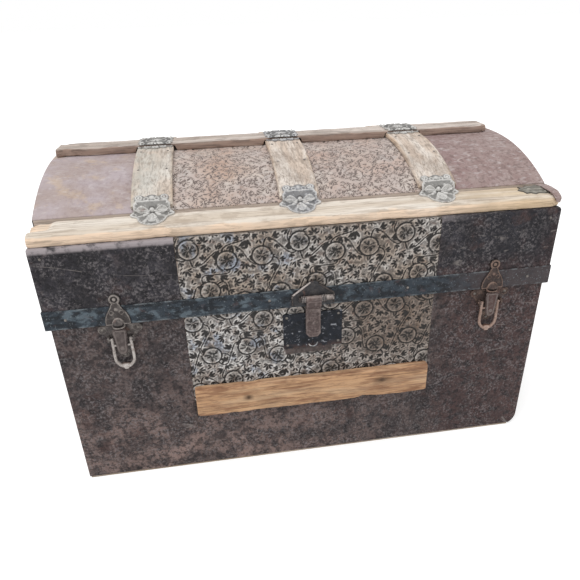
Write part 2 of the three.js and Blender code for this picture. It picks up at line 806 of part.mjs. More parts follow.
for (const [side, sign] of Object.entries(sides)) {
  place(lid, `lid_tin_${side}`, "tin", lidWrap(sign));
}
const lidPanel = foldedSheet(-1, panelLeft + fitGap / 2, panelRight - fitGap / 2);
place(lid, "lid_tin_embossed", "embossed", lidPanel);

// Dome tin: two plain end sheets and an embossed middle sheet, seamed under the outer hoops

const domeSeams = [-halfLid, hoopCentres.left, hoopCentres.right, halfLid];
const domeSheets = [
  ["dome_tin_left", "domeTin"],
  ["dome_tin_embossed", "embossed"],
  ["dome_tin_right", "domeTin"],
];
domeSheets.forEach(([name, finish], i) => {
  const [x0, x1] = [domeSeams[i] + fitGap / 2, domeSeams[i + 1] - fitGap / 2];
  place(lid, name, finish, alongX(domeStrip(-deckEdge, deckEdge, -tinThickness, 0), x0, x1));
});

// The iron band round the lid's foot, along the front and both ends
{
  const inside = fitGap;
  const outside = fitGap + bandThickness;
  const outline = [
    [-halfLid - outside, lidBack],
    [-halfLid - outside, lidFront - outside],
    [halfLid + outside, lidFront - outside],
    [halfLid + outside, lidBack],
    [halfLid + inside, lidBack],
    [halfLid + inside, lidFront - inside],
    [-halfLid - inside, lidFront - inside],
    [-halfLid - inside, lidBack],
  ];
  place(lid, "lid_band", "band", alongZ(outline, lidFoot, partingHeight + bandHeight));
}

// Rim slats, rounded along their outer top edge

const rimSlatFoot = seatHeight + fitGap;
const rimSlatTop = rimSlatFoot + rimSlatHeight;
const rimSlatFront = lidBack - rimSlatSetback;
const rimSlatBack = rimSlatFront - rimSlatDepth;

// The slat's section on the back edge, its top falling outwards, grown outwards by a skin's thickness.
function rimSection(grow) {
  const roundY = rimSlatFront - rimSlatRound;
  const roundZ = rimSlatTop - rimSlatFall - rimSlatRound;
  return [
    [rimSlatBack, rimSlatFoot],
    [rimSlatFront + grow, rimSlatFoot],
    ...arc(roundY, roundZ, rimSlatRound + grow, 0, 0.25),
    [rimSlatBack, rimSlatTop + grow],
  ];
}

place(lid, "rim_slat_front", "slat", alongX(facingFront(rimSection(0)), -halfLid, halfLid));
place(lid, "rim_slat_back", "slat", alongX(rimSection(0), -halfLid, halfLid));

// Hoops: bent slats over the dome, from one rim slat to the other

function hoopStrip(low, high, grow, centre) {
  const [x0, x1] = [centre - hoopWidth / 2 - grow, centre + hoopWidth / 2 + grow];
  return alongX(domeStrip(-deckEdge, deckEdge, low, high), x0, x1);
}

for (const [side, centre] of Object.entries(hoopCentres)) {
  place(lid, `hoop_${side}`, "slat", hoopStrip(fitGap, fitGap + hoopThickness, 0, centre));
}

// The crest slat, notched over the hoops
{
  const half = crestSlatWidth / 2;
  const low = fitGap;
  const top = domeHeight(0) + fitGap + crestSlatThickness;
  const under = domeStrip(-half, half, low, low, clampSteps).slice(0, clampSteps + 1);
  const outline = [
    ...under,
    [half, top - slatChamfer],
    [half - slatChamfer, top],
    [slatChamfer - half, top],
    [-half, top - slatChamfer],
  ];
  const whole = alongX(outline, crestSlatLeftStop - halfLid, halfLid - crestSlatRightStop);
  const notches = Object.values(hoopCentres).map((x) => hoopStrip(-overrun, 2 * fitGap + hoopThickness, fitGap, x));
  place(lid, "crest_slat", "slat", cut(whole, ...notches));
}

// Clamps that nail each hoop to the rim slat, and over the crest slat

const hoopFace = fitGap + hoopThickness + fitGap;

// A bent strip on the back edge: down the hoop's face, over its end and out along the rim slat.
function rimClampStrip(x0, x1) {
  const start = deckEdge - clampOnHoop;
  const bend = deckEdge + fitGap;
  const end = deckEdge + clampOnSlat;
  const flat = rimSlatDepth - rimSlatRound;
  const slatTop = (y) => rimSlatTop + fitGap - (rimSlatFall * (y - rimSlatBack)) / flat;
  const onHoop = (level) => domeStrip(start, bend, level, level, clampSteps).slice(0, clampSteps + 1);
  const wall = bend + clampThickness;
  const lower = [...onHoop(hoopFace), [bend, slatTop(bend)], [end, slatTop(end)]];
  const upper = [
    ...onHoop(hoopFace + clampThickness),
    [wall, domeHeight(bend) + hoopFace],
    [wall, slatTop(wall) + clampThickness],
    [end, slatTop(end) + clampThickness],
  ];
  return alongX([...lower, ...upper.reverse()], x0, x1);
}

// The clamp's shield outline seen from above, from the top edge on the hoop to the tongue on the slat.
function clampOutline(x) {
  const top = deckEdge - clampOnHoop;
  const shoulder = deckEdge + clampThickness;
  const round = clampTongueWidth / 2;
  const roundY = deckEdge + clampOnSlat - round;
  const half = [
    [0, top],
    [clampWidth / 2, top],
    [clampWidth / 2, shoulder - clampShoulderLength],
    [clampShoulderWidth / 2, shoulder],
    [clampShoulderWidth / 2, shoulder + clampShoulderLength],
    ...arc(0, roundY, round, 0, 0.25),
  ];
  return mirrored(half, x);
}

function hoopClamp(x) {
  const strip = rimClampStrip(x - hoopWidth, x + hoopWidth);
  const plan = alongZ(clampOutline(x), seatHeight, seatHeight + crownRise + crestSlatThickness);
  const turned = plan.intersect(strip);
  return turned.mirror([0, 1, 0]);
}

function crestClamp(x) {
  const half = crestSlatWidth / 2 + fitGap;
  const reach = half + crestClampReach;
  const slatFace = domeHeight(0) + fitGap + crestSlatThickness + fitGap;
  const wall = half + clampThickness;
  const onHoop = (from, level) => domeStrip(from, reach, level, level, clampSteps).slice(0, clampSteps + 1);
  const lower = [[half, slatFace], ...onHoop(half, hoopFace)];
  const upper = [[half, slatFace + clampThickness], [wall, slatFace], ...onHoop(wall, hoopFace + clampThickness)];
  const right = [...lower, ...upper.reverse()];
  const outline = [...right, ...facingFront(right)];
  return alongX(outline, x - crestClampWidth / 2, x + crestClampWidth / 2);
}

for (const [side, centre] of Object.entries(hoopCentres)) {
  place(lid, `hoop_clamp_${side}`, "iron", hoopClamp(centre));
  place(lid, `crest_clamp_${side}`, "iron", crestClamp(centre));
}

// The cap on the right end of the front rim slat: a leaf on top with a pointed inner edge
{
  const skinSection = [...rimSection(fitGap + clampThickness)];
  const shell = cut(
    alongX(facingFront(skinSection), halfLid - cornerClampLength, halfLid),
    alongX(facingFront(rimSection(fitGap)), halfLid - cornerClampLength - overrun, halfLid + overrun),
  );
  const near = -rimSlatBack;
  const leaf = [
    [halfLid - cornerClampLength, near - cornerClampDepth / 2],
    [halfLid - cornerClampLength + cornerClampTaper, near - cornerClampDepth],
    [halfLid, near - cornerClampDepth],
    [halfLid, near],
    [halfLid - cornerClampLength + cornerClampTaper, near],
  ];
  const clampTop = rimSlatTop + clampThickness + overrun;
  place(lid, "rim_corner_clamp", "iron", shell.intersect(alongZ(leaf, rimSlatFoot, clampTop)));
}

// Hasp mount, hasp and pin
{
  const x = frontShift;
  const face = lidFront - fitGap - bandThickness - fitGap;
  const foot = partingHeight + haspMountFoot;
  const half = [
    [haspMountWidth / 2, foot],
    [haspMountWidth / 2, partingHeight + haspMountEaves],
    [haspMountApexWidth / 2, partingHeight + haspMountApex],
  ];
  const plate = alongY(mirrored(half, x), face - fittingThickness, face);
  const inner = haspWidth / 2 + fitGap;
  const outer = inner + haspEarWidth;
  const ears = [-1, 1].map((sign) => {
    const [x0, x1] = [x + sign * inner, x + sign * outer].sort((a, b) => a - b);
    const [z0, z1] = [haspAxisZ - haspEarHeight / 2, haspAxisZ + haspEarHeight / 2];
    return join(block(x0, x1, haspAxisY, face, z0, z1), barX(haspBarrelRadius, x0, x1, haspAxisY, haspAxisZ));
  });
  const bore = barX(haspPinRadius + runningGap, x - outer - overrun, x + outer + overrun, haspAxisY, haspAxisZ);
  place(lid, "hasp_mount", "hasp", cut(join(plate, ...ears), bore));
  place(lid, "hasp_pin", "wire", headedPin(haspPinRadius, x - outer, x + outer, haspAxisY, haspAxisZ));

  const [w0, w1] = [x - haspWidth / 2, x + haspWidth / 2];
  const line = [
    [haspAxisY, haspAxisZ],
    [haspAxisY, haspAxisZ - haspCrankStart],
    [haspAxisY + haspCrank, haspAxisZ - haspCrankEnd],
    [haspAxisY + haspCrank, haspTipZ + haspChamfer],
    [haspAxisY + haspCrank - haspTipLift, haspTipZ],
  ];
  const strip = [...line.map(([y, z]) => [y - haspThickness, z]), ...[...line].reverse()];
  const front = haspAxisY - 2 * haspBarrelRadius;
  const tip = [
    [haspWidth / 2 - haspChamfer, haspTipZ],
    [haspWidth / 2, haspTipZ + haspChamfer],
    [haspWidth / 2, haspAxisZ],
  ];
  const leaf = alongX(strip, w0, w1).intersect(alongY(mirrored(tip, x), front, bodyFront));
  const barrel = barX(haspBarrelRadius, w0, w1, haspAxisY, haspAxisZ);
  const lugFront = haspAxisY + haspCrank - haspThickness / 2;
  const [l0, l1] = [x - lugWidth / 2, x + lugWidth / 2];
  const lug = block(l0, l1, lugFront, lugBack, lugBottom, lugBottom + lugHeight);
  const eye = block(
    l0 - overrun,
    l1 + overrun,
    boltFront - runningGap,
    boltFront + boltDepth + runningGap,
    boltZ - boltHeight / 2 - runningGap,
    boltZ + boltHeight / 2 + runningGap,
  );
  const pinHole = barX(haspPinRadius + runningGap, w0 - overrun, w1 + overrun, haspAxisY, haspAxisZ);
  place(lid, "hasp", "hasp", cut(join(leaf, barrel, cut(lug, eye)), pinHole));
}

export default trunk;
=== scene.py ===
"""Looks of a low dome-top trunk: worn tin, embossed panels, weathered slats, bent hoops and iron fittings.

Sizes in the classes are millimetres in the part's frame: +X to the right seen from the front, +Y to the
back, +Z up, with the origin in the middle of the base.
"""

from __future__ import annotations

import logging
import math
from collections.abc import Callable, Sequence
from dataclasses import dataclass, replace
from enum import Enum
from functools import partial
from itertools import product
from typing import Any, ClassVar

import bmesh
import bpy
import numpy as np
from mathutils import Matrix, Vector
from mathutils.geometry import delaunay_2d_cdt


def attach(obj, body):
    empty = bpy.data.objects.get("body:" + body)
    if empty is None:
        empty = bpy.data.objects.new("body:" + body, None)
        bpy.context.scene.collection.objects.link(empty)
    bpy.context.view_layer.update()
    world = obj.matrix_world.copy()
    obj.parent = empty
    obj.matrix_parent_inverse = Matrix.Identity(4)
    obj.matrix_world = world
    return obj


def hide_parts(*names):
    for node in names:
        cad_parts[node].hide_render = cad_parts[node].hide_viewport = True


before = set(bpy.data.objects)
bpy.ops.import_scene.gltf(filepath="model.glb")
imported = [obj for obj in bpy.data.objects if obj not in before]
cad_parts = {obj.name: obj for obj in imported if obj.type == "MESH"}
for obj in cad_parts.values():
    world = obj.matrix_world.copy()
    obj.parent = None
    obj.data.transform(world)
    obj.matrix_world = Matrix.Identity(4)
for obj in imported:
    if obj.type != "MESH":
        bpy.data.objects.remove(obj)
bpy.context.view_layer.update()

log = logging.getLogger("trunk")
Point = tuple[float, float]
Place = tuple[float, float, float]
Array = np.ndarray
Solid = tuple[Array, list[tuple[int, ...]]]
Sheet = Callable[[Array, Array, Array], Array]
Material = bpy.types.Material
Tree = bpy.types.NodeTree
Socket = bpy.types.NodeSocket
MM = 0.001

# Shared sizes of the trunk
LID_HALF_WIDTH = 381.0
LID_HALF_DEPTH = 250.0
BODY_FRONT = -247.0
LID_FOOT = 289.3
LID_SEAT = 412.0
DOME_SPRING = 400.0
DOME_RISE = 83.0
DOME_POWER = 2.4
DOME_HALF_SPAN = 196.7
FRONT_SHIFT = 3.0
PANEL_LEFT = -188.85
PANEL_RIGHT = 194.85
HOOP_SIDES = ("left", "middle", "right")
HOOP_CENTRES = (-217.0, -5.0, 207.0)
LATCH_CENTRES = (-281.0, 287.0)
NOISE_ROUGHNESS = 0.6
# A stored tone of exactly 0 means a CAD piece without the attribute, so stamped pieces stay above it.
LEAST_TONE = 0.02
# Edges of stamped and turned iron stay sharp above this angle in degrees.
STAMP_SHARP = 60.0


def dome_height(y: Array | float) -> Array | float:
    """Returns the level of the dome's tin at depth y."""
    return DOME_SPRING + DOME_RISE * (1 - (abs(y) / LID_HALF_DEPTH) ** DOME_POWER)


# ---------------------------------------------------------------------------------------------
# Noise, meshes and node trees


def lattice_noise(points: Array, size: float, seed: int = 0) -> Array:
    """Smooth value noise in space.

    Args:
        points: Positions, one row each, in millimetres.
        size: Distance between the noise's lattice points.
        seed: Chooses another pattern.

    Returns:
        One value from -1 to 1 for each row.
    """
    q = np.asarray(points, float) / size
    cell = np.floor(q).astype(np.int64)
    f = q - cell
    f = f * f * (3 - 2 * f)
    total = np.zeros(len(q))
    for corner in range(2 ** q.shape[1]):
        bits = np.array([(corner >> axis) & 1 for axis in range(q.shape[1])])
        at = cell + bits
        mixed = np.full(len(q), seed * 7919 + 17, np.int64)
        for axis, prime in enumerate((73856093, 19349663, 83492791)[: q.shape[1]]):
            mixed ^= at[:, axis] * prime
        mixed = ((mixed ^ (mixed >> 13)) * 1274126177) & 0xFFFFFFFF
        value = ((mixed >> 8) & 0xFFFF) / 65535.0
        total += value * np.prod(np.where(bits, f, 1 - f), axis=1)
    return total * 2 - 1


def smooth(low: float, high: float, x: Array) -> Array:
    """Returns 0 where x is below low, 1 above high, and a smooth step between."""
    t = np.clip((x - low) / (high - low), 0, 1)
    return t * t * (3 - 2 * t)


def make_object(
    name: str,
    vertices: Array,
    faces: Sequence[Sequence[int]],
    material: Material,
    body: str,
    sharp: float = 40.0,
    stored: dict[str, Array] | None = None,
) -> bpy.types.Object:
    """Makes a finished piece whose faces point outwards and that rides on a body.

    Args:
        name: The piece's name.
        vertices: Positions in millimetres, one row each.
        faces: Corners of each face.
        material: The piece's finish.
        body: CAD body that the piece moves with.
        sharp: Angle in degrees above which an edge stays sharp.
        stored: Values to keep on the vertices, by attribute name.

    Returns:
        The new object, at the origin.
    """
    mesh = bpy.data.meshes.new(name)
    mesh.from_pydata((np.asarray(vertices) * MM).tolist(), [], [list(map(int, f)) for f in faces])
    work = bmesh.new()
    work.from_mesh(mesh)
    bmesh.ops.recalc_face_normals(work, faces=work.faces)
    work.to_mesh(mesh)
    work.free()
    for key, values in (stored or {}).items():
        mesh.attributes.new(key, "FLOAT", "POINT").data.foreach_set("value", np.asarray(values, np.float32))
    mesh.shade_smooth()
    mesh.set_sharp_from_angle(angle=math.radians(sharp))
    mesh.materials.append(material)
    obj = bpy.data.objects.new(name, mesh)
    bpy.context.scene.collection.objects.link(obj)
    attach(obj, body)
    log.info("%s: %d faces on %s", name, len(mesh.polygons), body)
    return obj


def add_node(tree: Tree, kind: str, inputs: dict[int | str, Any] | None = None, **settings: Any) -> bpy.types.Node:
    """Adds a node, sets its properties, and links or sets its inputs.

    Args:
        tree: Tree that takes the node.
        kind: Node type's identifier.
        inputs: A socket to link or a value to set, by input name or index.
        **settings: Node properties to set first.

    Returns:
        The new node.
    """
    node = tree.nodes.new(kind)
    for key, value in settings.items():
        setattr(node, key, value)
    for key, value in (inputs or {}).items():
        if isinstance(value, Socket):
            tree.links.new(value, node.inputs[key])
        else:
            node.inputs[key].default_value = value
    return node


def linear(colour: str) -> tuple[float, float, float, float]:
    """Converts an sRGB hex colour to the linear RGBA that Blender's sockets take."""
    parts = [int(colour[i : i + 2], 16) / 255 for i in (1, 3, 5)]
    return (*(c / 12.92 if c <= 0.04045 else ((c + 0.055) / 1.055) ** 2.4 for c in parts), 1.0)


# ---------------------------------------------------------------------------------------------
# Finishes


class Source(Enum):
    """What a mask is read from."""

    NOISE = "noise"
    VEIN = "vein"
    STORED = "stored"
    ACROSS = "X"
    DEPTH = "Y"
    HEIGHT = "Z"


@dataclass(frozen=True)
class Mask:
    """Where something shows: 0 at low, 1 at high. Sizes are millimetres on the trunk."""

    source: Source
    low: float
    high: float
    size: float = 20.0
    stretch: Place = (1.0, 1.0, 1.0)
    detail: float = 5.0
    offset: float = 0.0
    attribute: str = "relief"


# Masks of each source by short names, so that a finish reads as one list.
by_noise = partial(Mask, Source.NOISE)
by_vein = partial(Mask, Source.VEIN)
by_stored = partial(Mask, Source.STORED)
by_x = partial(Mask, Source.ACROSS)
by_y = partial(Mask, Source.DEPTH)
by_z = partial(Mask, Source.HEIGHT)


@dataclass(frozen=True)
class Coat:
    """A colour that lies over the ones below it where all its masks show."""

    colour: str
    masks: tuple[Mask, ...]
    strength: float = 1.0


@dataclass(frozen=True)
class Finish:
    """One real finish: base colour, coats over it, roughness and fine surface relief."""

    name: str
    colour: str
    coats: tuple[Coat, ...] = ()
    roughness: tuple[float, float] = (0.55, 0.8)
    metallic: float = 0.0
    bumps: tuple[tuple[Mask, float], ...] = ()
    specular: float = 0.5

    def under(self, *coats: Coat) -> Finish:
        """Returns the same finish with more coats over it."""
        return replace(self, coats=self.coats + coats)

    def material(self) -> Material:
        """Returns the finish's material."""
        return Painter(self).paint()


class Painter:
    """Builds the node tree of one finish, with patterns in object coordinates."""

    def __init__(self, finish: Finish) -> None:
        """Starts an empty material for the finish.

        Args:
            finish: What to paint.
        """
        self.finish = finish
        self.target = bpy.data.materials.new(finish.name)
        self.target.use_nodes = True
        self.tree = self.target.node_tree
        self.tree.nodes.clear()
        self.place = add_node(self.tree, "ShaderNodeTexCoord").outputs["Object"]

    def mask(self, mask: Mask) -> Socket:
        """Adds one mask's nodes.

        Args:
            mask: The mask.

        Returns:
            A socket that is 0 to 1 over the surface.
        """
        if mask.source is Source.STORED:
            value = add_node(self.tree, "ShaderNodeAttribute", attribute_name=mask.attribute).outputs["Fac"]
        elif mask.source in (Source.ACROSS, Source.DEPTH, Source.HEIGHT):
            value = add_node(self.tree, "ShaderNodeSeparateXYZ", {0: self.place}).outputs[mask.source.value]
        else:
            shift = {"Vector": self.place, "Location": (mask.offset,) * 3, "Scale": mask.stretch}
            moved = add_node(self.tree, "ShaderNodeMapping", shift).outputs[0]
            scale = 1 / (mask.size * MM)
            grain = {"Vector": moved, "Scale": scale, "Detail": mask.detail, "Roughness": NOISE_ROUGHNESS}
            value = add_node(self.tree, "ShaderNodeTexNoise", grain).outputs["Fac"]
            if mask.source is Source.VEIN:
                level = add_node(self.tree, "ShaderNodeMath", {0: value, 1: 0.5}, operation="SUBTRACT")
                value = add_node(self.tree, "ShaderNodeMath", {0: level.outputs[0]}, operation="ABSOLUTE").outputs[0]
        spatial = MM if mask.source in (Source.ACROSS, Source.DEPTH, Source.HEIGHT) else 1.0
        limits = {"From Min": mask.low * spatial, "From Max": mask.high * spatial}
        return add_node(self.tree, "ShaderNodeMapRange", {"Value": value, **limits}).outputs[0]

    def paint(self) -> Material:
        """Builds the whole tree.

        Returns:
            The material.
        """
        colour: Any = linear(self.finish.colour)
        for coat in self.finish.coats:
            factor: Any = coat.strength
            for mask in coat.masks:
                part = self.mask(mask)
                factor = add_node(self.tree, "ShaderNodeMath", {0: part, 1: factor}, operation="MULTIPLY").outputs[0]
            over = {0: factor, 6: colour, 7: linear(coat.colour)}
            colour = add_node(self.tree, "ShaderNodeMix", over, data_type="RGBA").outputs[2]
        values = {"Base Color": colour, "Metallic": self.finish.metallic, "Specular IOR Level": self.finish.specular}
        shader = add_node(self.tree, "ShaderNodeBsdfPrincipled", values)
        wear = self.mask(by_noise(0.35, 0.65, size=9.0, offset=0.37))
        span = {"Value": wear, "To Min": self.finish.roughness[0], "To Max": self.finish.roughness[1]}
        rough = add_node(self.tree, "ShaderNodeMapRange", span).outputs[0]
        self.tree.links.new(rough, shader.inputs["Roughness"])
        normal = None
        for mask, depth in self.finish.bumps:
            inputs: dict[int | str, Any] = {"Height": self.mask(mask), "Distance": depth * MM}
            if normal is not None:
                inputs["Normal"] = normal
            normal = add_node(self.tree, "ShaderNodeBump", inputs).outputs[0]
        if normal is not None:
            self.tree.links.new(normal, shader.inputs["Normal"])
        add_node(self.tree, "ShaderNodeOutputMaterial", {"Surface": shader.outputs[0]})
        return self.target


GRAIN_X = (0.05, 1.0, 1.0)
GRAIN_Y = (1.0, 0.05, 1.0)


def timber(name: str, colour: str, pale: str, dark: str, edge: str, grain: Place = GRAIN_X) -> Finish:
    """Returns a finish of bare wood with its grain along one axis.

    Args:
        name: Finish name.
        colour: Usual colour of the wood.
        pale: Bleached parts.
        dark: Grain lines and stains.
        edge: Colour on worn edges and faces turned from the sky.
        grain: Stretch of the pattern, small along the grain.

    Returns:
        The finish, before its material is made.
    """
    return Finish(
        name,
        colour,
        (
            Coat(pale, (by_noise(0.42, 0.6, 20, grain, 3, 1.3),), 0.8),
            Coat(edge, (by_stored(0.3, 0.9, attribute="edge"), by_noise(0.25, 0.45, 30, grain)), 0.85),
            Coat(dark, (by_noise(0.52, 0.62, 4.0, grain, 4),), 0.5),
            Coat(dark, (by_noise(0.55, 0.62, 9.0, (0.25, 0.25, 1.0), 5, 7.1),), 0.35),
            Coat(dark, (by_noise(0.54, 0.7, 40, (0.5, 0.5, 0.5), 5, 2.1),), 0.45),
            Coat(dark, (by_noise(0.56, 0.66, 2.2, grain, 2, 9.0),), 0.5),
            Coat("#5b493c", (by_vein(0.008, 0.0, 16, grain, 2, 5.2), by_noise(0.55, 0.65, 60, offset=3)), 0.6),
        ),
        (0.7, 0.9),
        0.0,
        ((by_noise(0.35, 0.65, 3.2, grain, 4), 0.35), (by_vein(0.0, 0.02, 16, grain, 2, 5.2), 0.5)),
    )


class Looks:
    """Every material of the trunk, made once and shared by its pieces."""

    def __init__(self) -> None:
        """Builds the materials."""
        # Weathered slats: bleached grey-beige on top, tan at the worn edges, dark cracks along the grain.
        slat = timber("weathered_slat_wood", "#d4c7b7", "#e8e0d5", "#9c8a78", "#edd1b6")
        # The underside, seen from inside the lid, never saw the sun and keeps the brown of the boards.
        amber = Coat("#cbb189", (by_x(180, 320), by_noise(0.36, 0.56, 24, GRAIN_X)), 0.55)
        shelter = Coat("#9c7850", (by_z(410.5, 409.0), by_y(-240, -236)), 0.9)
        self.slat = slat.under(amber, shelter).material()
        # Lower slat: sheltered from the sky, so it keeps a warm orange tan with darker knots.
        warm = timber("warm_slat_wood", "#b28765", "#d8b592", "#5c3f2f", "#c39a74")
        knots = tuple(
            Coat("#46301f", (by_x(x - w, x - 1), by_x(x + w, x + 1), by_z(z - 7, z - 2), by_z(z + 7, z + 2)), 0.95)
            for x, w, z in ((-104, 10, 139), (115, 18, 143))
        )
        streaks = (
            Coat("#7b533b", (by_noise(0.5, 0.6, 9, (0.14, 1, 1), 6, 4.4),), 0.65),
            Coat("#dfbf9b", (by_noise(0.5, 0.66, 12, (0.12, 1, 1), 8, 6.4),), 0.45),
            Coat("#6f4f40", (by_x(90, 170), by_noise(0.44, 0.56, 14, GRAIN_X, 6, 2.7)), 0.72),
        )
        self.lower_slat = warm.under(*streaks, *knots).material()
        # Hoops: the same wood bent over the dome, greyer, with its grain along the bend.
        bent = timber("weathered_hoop_wood", "#cdbcad", "#e2dad1", "#8c7c70", "#c9b096", GRAIN_Y)
        grey = Coat("#b7b8b1", (by_x(-150, -235), by_noise(0.35, 0.55, 40)), 0.6)
        fibre = Coat("#8f8175", (by_noise(0.53, 0.63, 5, (1, 0.14, 1), 6, 5.1),), 0.6)
        self.hoop = bent.under(grey, fibre).material()
        # Crest slat: darker brown on its sides and underside and at worn corners.
        self.crest = timber("weathered_crest_wood", "#b4a69b", "#d5cac2", "#665850", "#94796a").material()
        # Pine boards inside: plain aged pine, yellow-brown with fine grain.
        self.pine = timber("aged_pine_board", "#b08a5c", "#c39f70", "#7d5b38", "#a27c50").material()
        # Deck under the dome: the same pine, dusty brown along the edge that shows over the rim slats.
        soil = (Coat("#b9aca2", (by_y(side * 195.5, side * 196.3),), 0.95) for side in (-1, 1))
        self.deck = timber("aged_deck_board", "#b08a5c", "#c39f70", "#7d5b38", "#a27c50").under(*soil).material()
        # Embossed tin of the front: bright worn highs over nearly black recesses, browner to the right.
        front = (
            Coat("#efeeed", (by_noise(0.42, 0.52, 26, offset=2.2), by_x(90, -30), by_z(300, 285)), 0.5),
            Coat("#9c8a79", (by_noise(0.42, 0.56, 50, offset=4.4), by_z(270, 310)), 0.75),
            Coat("#7b6553", (by_noise(0.5, 0.6, 34, offset=8.4), by_z(310, 270)), 0.6),
            Coat("#75604f", (by_x(20, 90), by_z(291, 286), by_z(160, 205)), 0.75),
            Coat("#9fabbd", (by_noise(0.55, 0.64, 30, offset=7.0), by_x(60, -40)), 0.75),
            *(
                Coat(
                    colour,
                    (
                        by_x(-43, -40), by_x(35, 32), by_z(202, 205), by_z(230, 229),
                        by_noise(low, low + 0.1, 9, offset=3.9),
                    ),
                    0.9,
                )
                for colour, low in (("#473636", 0.0), ("#231b1d", 0.46), ("#75615f", 0.57))
            ),
        )
        self.embossed = self.embossed_tin("embossed_front_tin", "#c3beb9", "#3f3733", "#0d0a09", front, 0.2)
        # Embossed tin of the dome: dusty tan highs, brown lines, an orange rust blush.
        dome = (
            Coat("#cdc5bd", (by_noise(0.46, 0.62, 40, offset=2.2),), 0.7),
            Coat("#c0a191", (by_noise(0.5, 0.66, 70, offset=4.4),), 0.6),
            Coat("#aaa5a3", (by_noise(0.54, 0.64, 30, offset=7.0),), 0.6),
            Coat("#b38768", (by_x(-185, -125), by_x(-40, -100), by_noise(0.35, 0.6, 60, offset=2.6)), 0.55),
            Coat("#ac8c7c", (by_x(20, 60), by_x(190, 110), by_noise(0.35, 0.6, 60, offset=5.6)), 0.45),
        )
        self.dome_embossed = self.embossed_tin("embossed_dome_tin", "#bdb2ad", "#aea098", "#6c605b", dome, 0.1)
        # Plain tin of the dome: dusty brown-mauve japan with pale scuffs.
        self.dome_tin = self.plain_dome_tin()
        # Plain tin of the front, ends and back: black japan worn through to brown with pale specks, and a painted
        # highlight on the lid's front shoulder.
        self.tin = self.japanned_tin()
        # Band round the lid's foot: dark blue-black enamel, chipped, rusting to brown at the right end.
        self.band = self.enamelled_band()
        # Iron clamps: grey cast look with light worn highs and painted shade in the hollows.
        cool = Coat("#8b8e98", (by_x(-60, -36), by_x(60, 36), by_noise(0.25, 0.45, 20)), 0.6)
        self.clamp = self.worn_iron("weathered_clamp_iron", "#aeaca8", "#d6d4d1", "#52504e", 0.15, (cool,))
        # Leaf on the end of the rim slat: the same iron, darker.
        self.leaf = self.worn_iron("dark_leaf_iron", "#77736b", "#a7a398", "#403d37", 0.15)
        # Hasp and latch tongues: brown-grey rusted steel.
        self.hasp = self.worn_iron("rust_brown_steel", "#665957", "#8b7f7b", "#43332d", 0.35)
        # Latch plates: dark iron with rust.
        self.latch = self.worn_iron("rusted_latch_iron", "#41332f", "#897164", "#1d1411", 0.2)
        # Wire loops and pins: pale worn steel.
        self.steel = self.worn_iron("worn_bright_steel", "#a8a09b", "#d3cdc9", "#6b5a52", 0.35)
        # Wire loop of the right latch: the same steel, tinted by rust.
        self.rusty_steel = self.worn_iron("rust_tinted_steel", "#957d71", "#c2aca1", "#573a2d", 0.3)
        # Beads and ridges of the hasp's mount: rubbed bright brown-grey, with a painted highlight on the gable's left
        # bead.
        self.bright = self.worn_iron("rubbed_and_painted_highlight_mount_beads", "#857a75", "#c3b9b4", "#332c2a", 0.3)
        # Face of the hasp: brown-grey with lighter rubbed edges, and a painted highlight along the top of its roll.
        self.hasp_face = self.worn_iron("rubbed_hasp_face_and_painted_highlight", "#554745", "#948782", "#2b211f", 0.3)
        # Faces of the latch tongues: dark grey steel with rubbed rims.
        self.tongue = self.worn_iron(
            "rubbed_tongue_steel", "#4b413f", "#746a66", "#231d1c", 0.2, (Coat("#4a322d", (by_x(0, 100),), 0.85),)
        )
        # Mount of the hasp: the band's dark enamel gone brown.
        self.mount = self.worn_iron("dark_mount_iron", "#252427", "#4b4645", "#151518", 0.0)
        # Lock plate: navy-black enamel with small grey chips.
        self.lock = Finish(
            "black_enamelled_lock",
            "#1b1f27",
            (
                Coat("#121418", (by_noise(0.48, 0.58, 12, detail=8),), 0.7),
                Coat("#3a3c43", (by_noise(0.55, 0.64, 8, detail=8, offset=2.0),), 0.6),
                Coat("#9a9ca2", (by_noise(0.6, 0.65, 6, (0.6, 1, 1), 6, 4.0),), 0.8),
                Coat("#4f3d38", (by_z(224, 216), by_noise(0.4, 0.55, 10)), 0.7),
            ),
            (0.35, 0.6),
            0.0,
            ((by_noise(0.4, 0.6, 2.0), 0.2),),
            0.2,
        ).material()
        # Latch of the left side: grey iron with rubbed edges; the right one is browner with rust.
        self.grey_latch = self.worn_iron("rubbed_latch_iron", "#4b4442", "#9b938d", "#1d1918", 0.2)
        # Nail heads: dull grey iron.
        self.nail = self.worn_iron("dull_nail_iron", "#6f6964", "#a8a19b", "#3b3531", 0.2)
        # Underside board's edges below the tin: bleached grey pine.
        self.foot = timber("bleached_foot_board", "#a5937f", "#c3b6a8", "#6e5e50", "#a5937f").material()
        # Handles: old brown harness leather with pale cracks.
        self.leather = self.harness_leather()
        # Stitching of the handles: waxed linen thread.
        self.thread = Finish("waxed_thread", "#a8977c", (Coat("#6e604c", (by_noise(0.5, 0.7, 1.5),)),)).material()

    @staticmethod
    def embossed_tin(name: str, high: str, middle: str, low: str, extra: tuple[Coat, ...], metallic: float) -> Material:
        """Makes stamped tin whose colour follows the stored relief: highs, flat ground and recesses.

        Args:
            name: Finish name.
            high: Colour of the highs.
            middle: Colour of the flat ground.
            low: Colour of the recesses.
            extra: Coats under the recesses' colour.
            metallic: How metallic it is.

        Returns:
            The material.
        """
        return Finish(
            name,
            high,
            (
                *extra,
                Coat("#7c5b4b", (by_noise(0.57, 0.65, 8, offset=1.0),), 0.5),
                Coat(middle, (by_stored(0.92, 0.72), by_noise(0.2, 0.48, 12, offset=5.0)), 0.62),
                Coat(low, (by_stored(0.68, 0.36),), 0.95),
            ),
            (0.5, 0.75),
            metallic,
            ((by_noise(0.4, 0.6, 2.0), 0.15),),
        ).material()

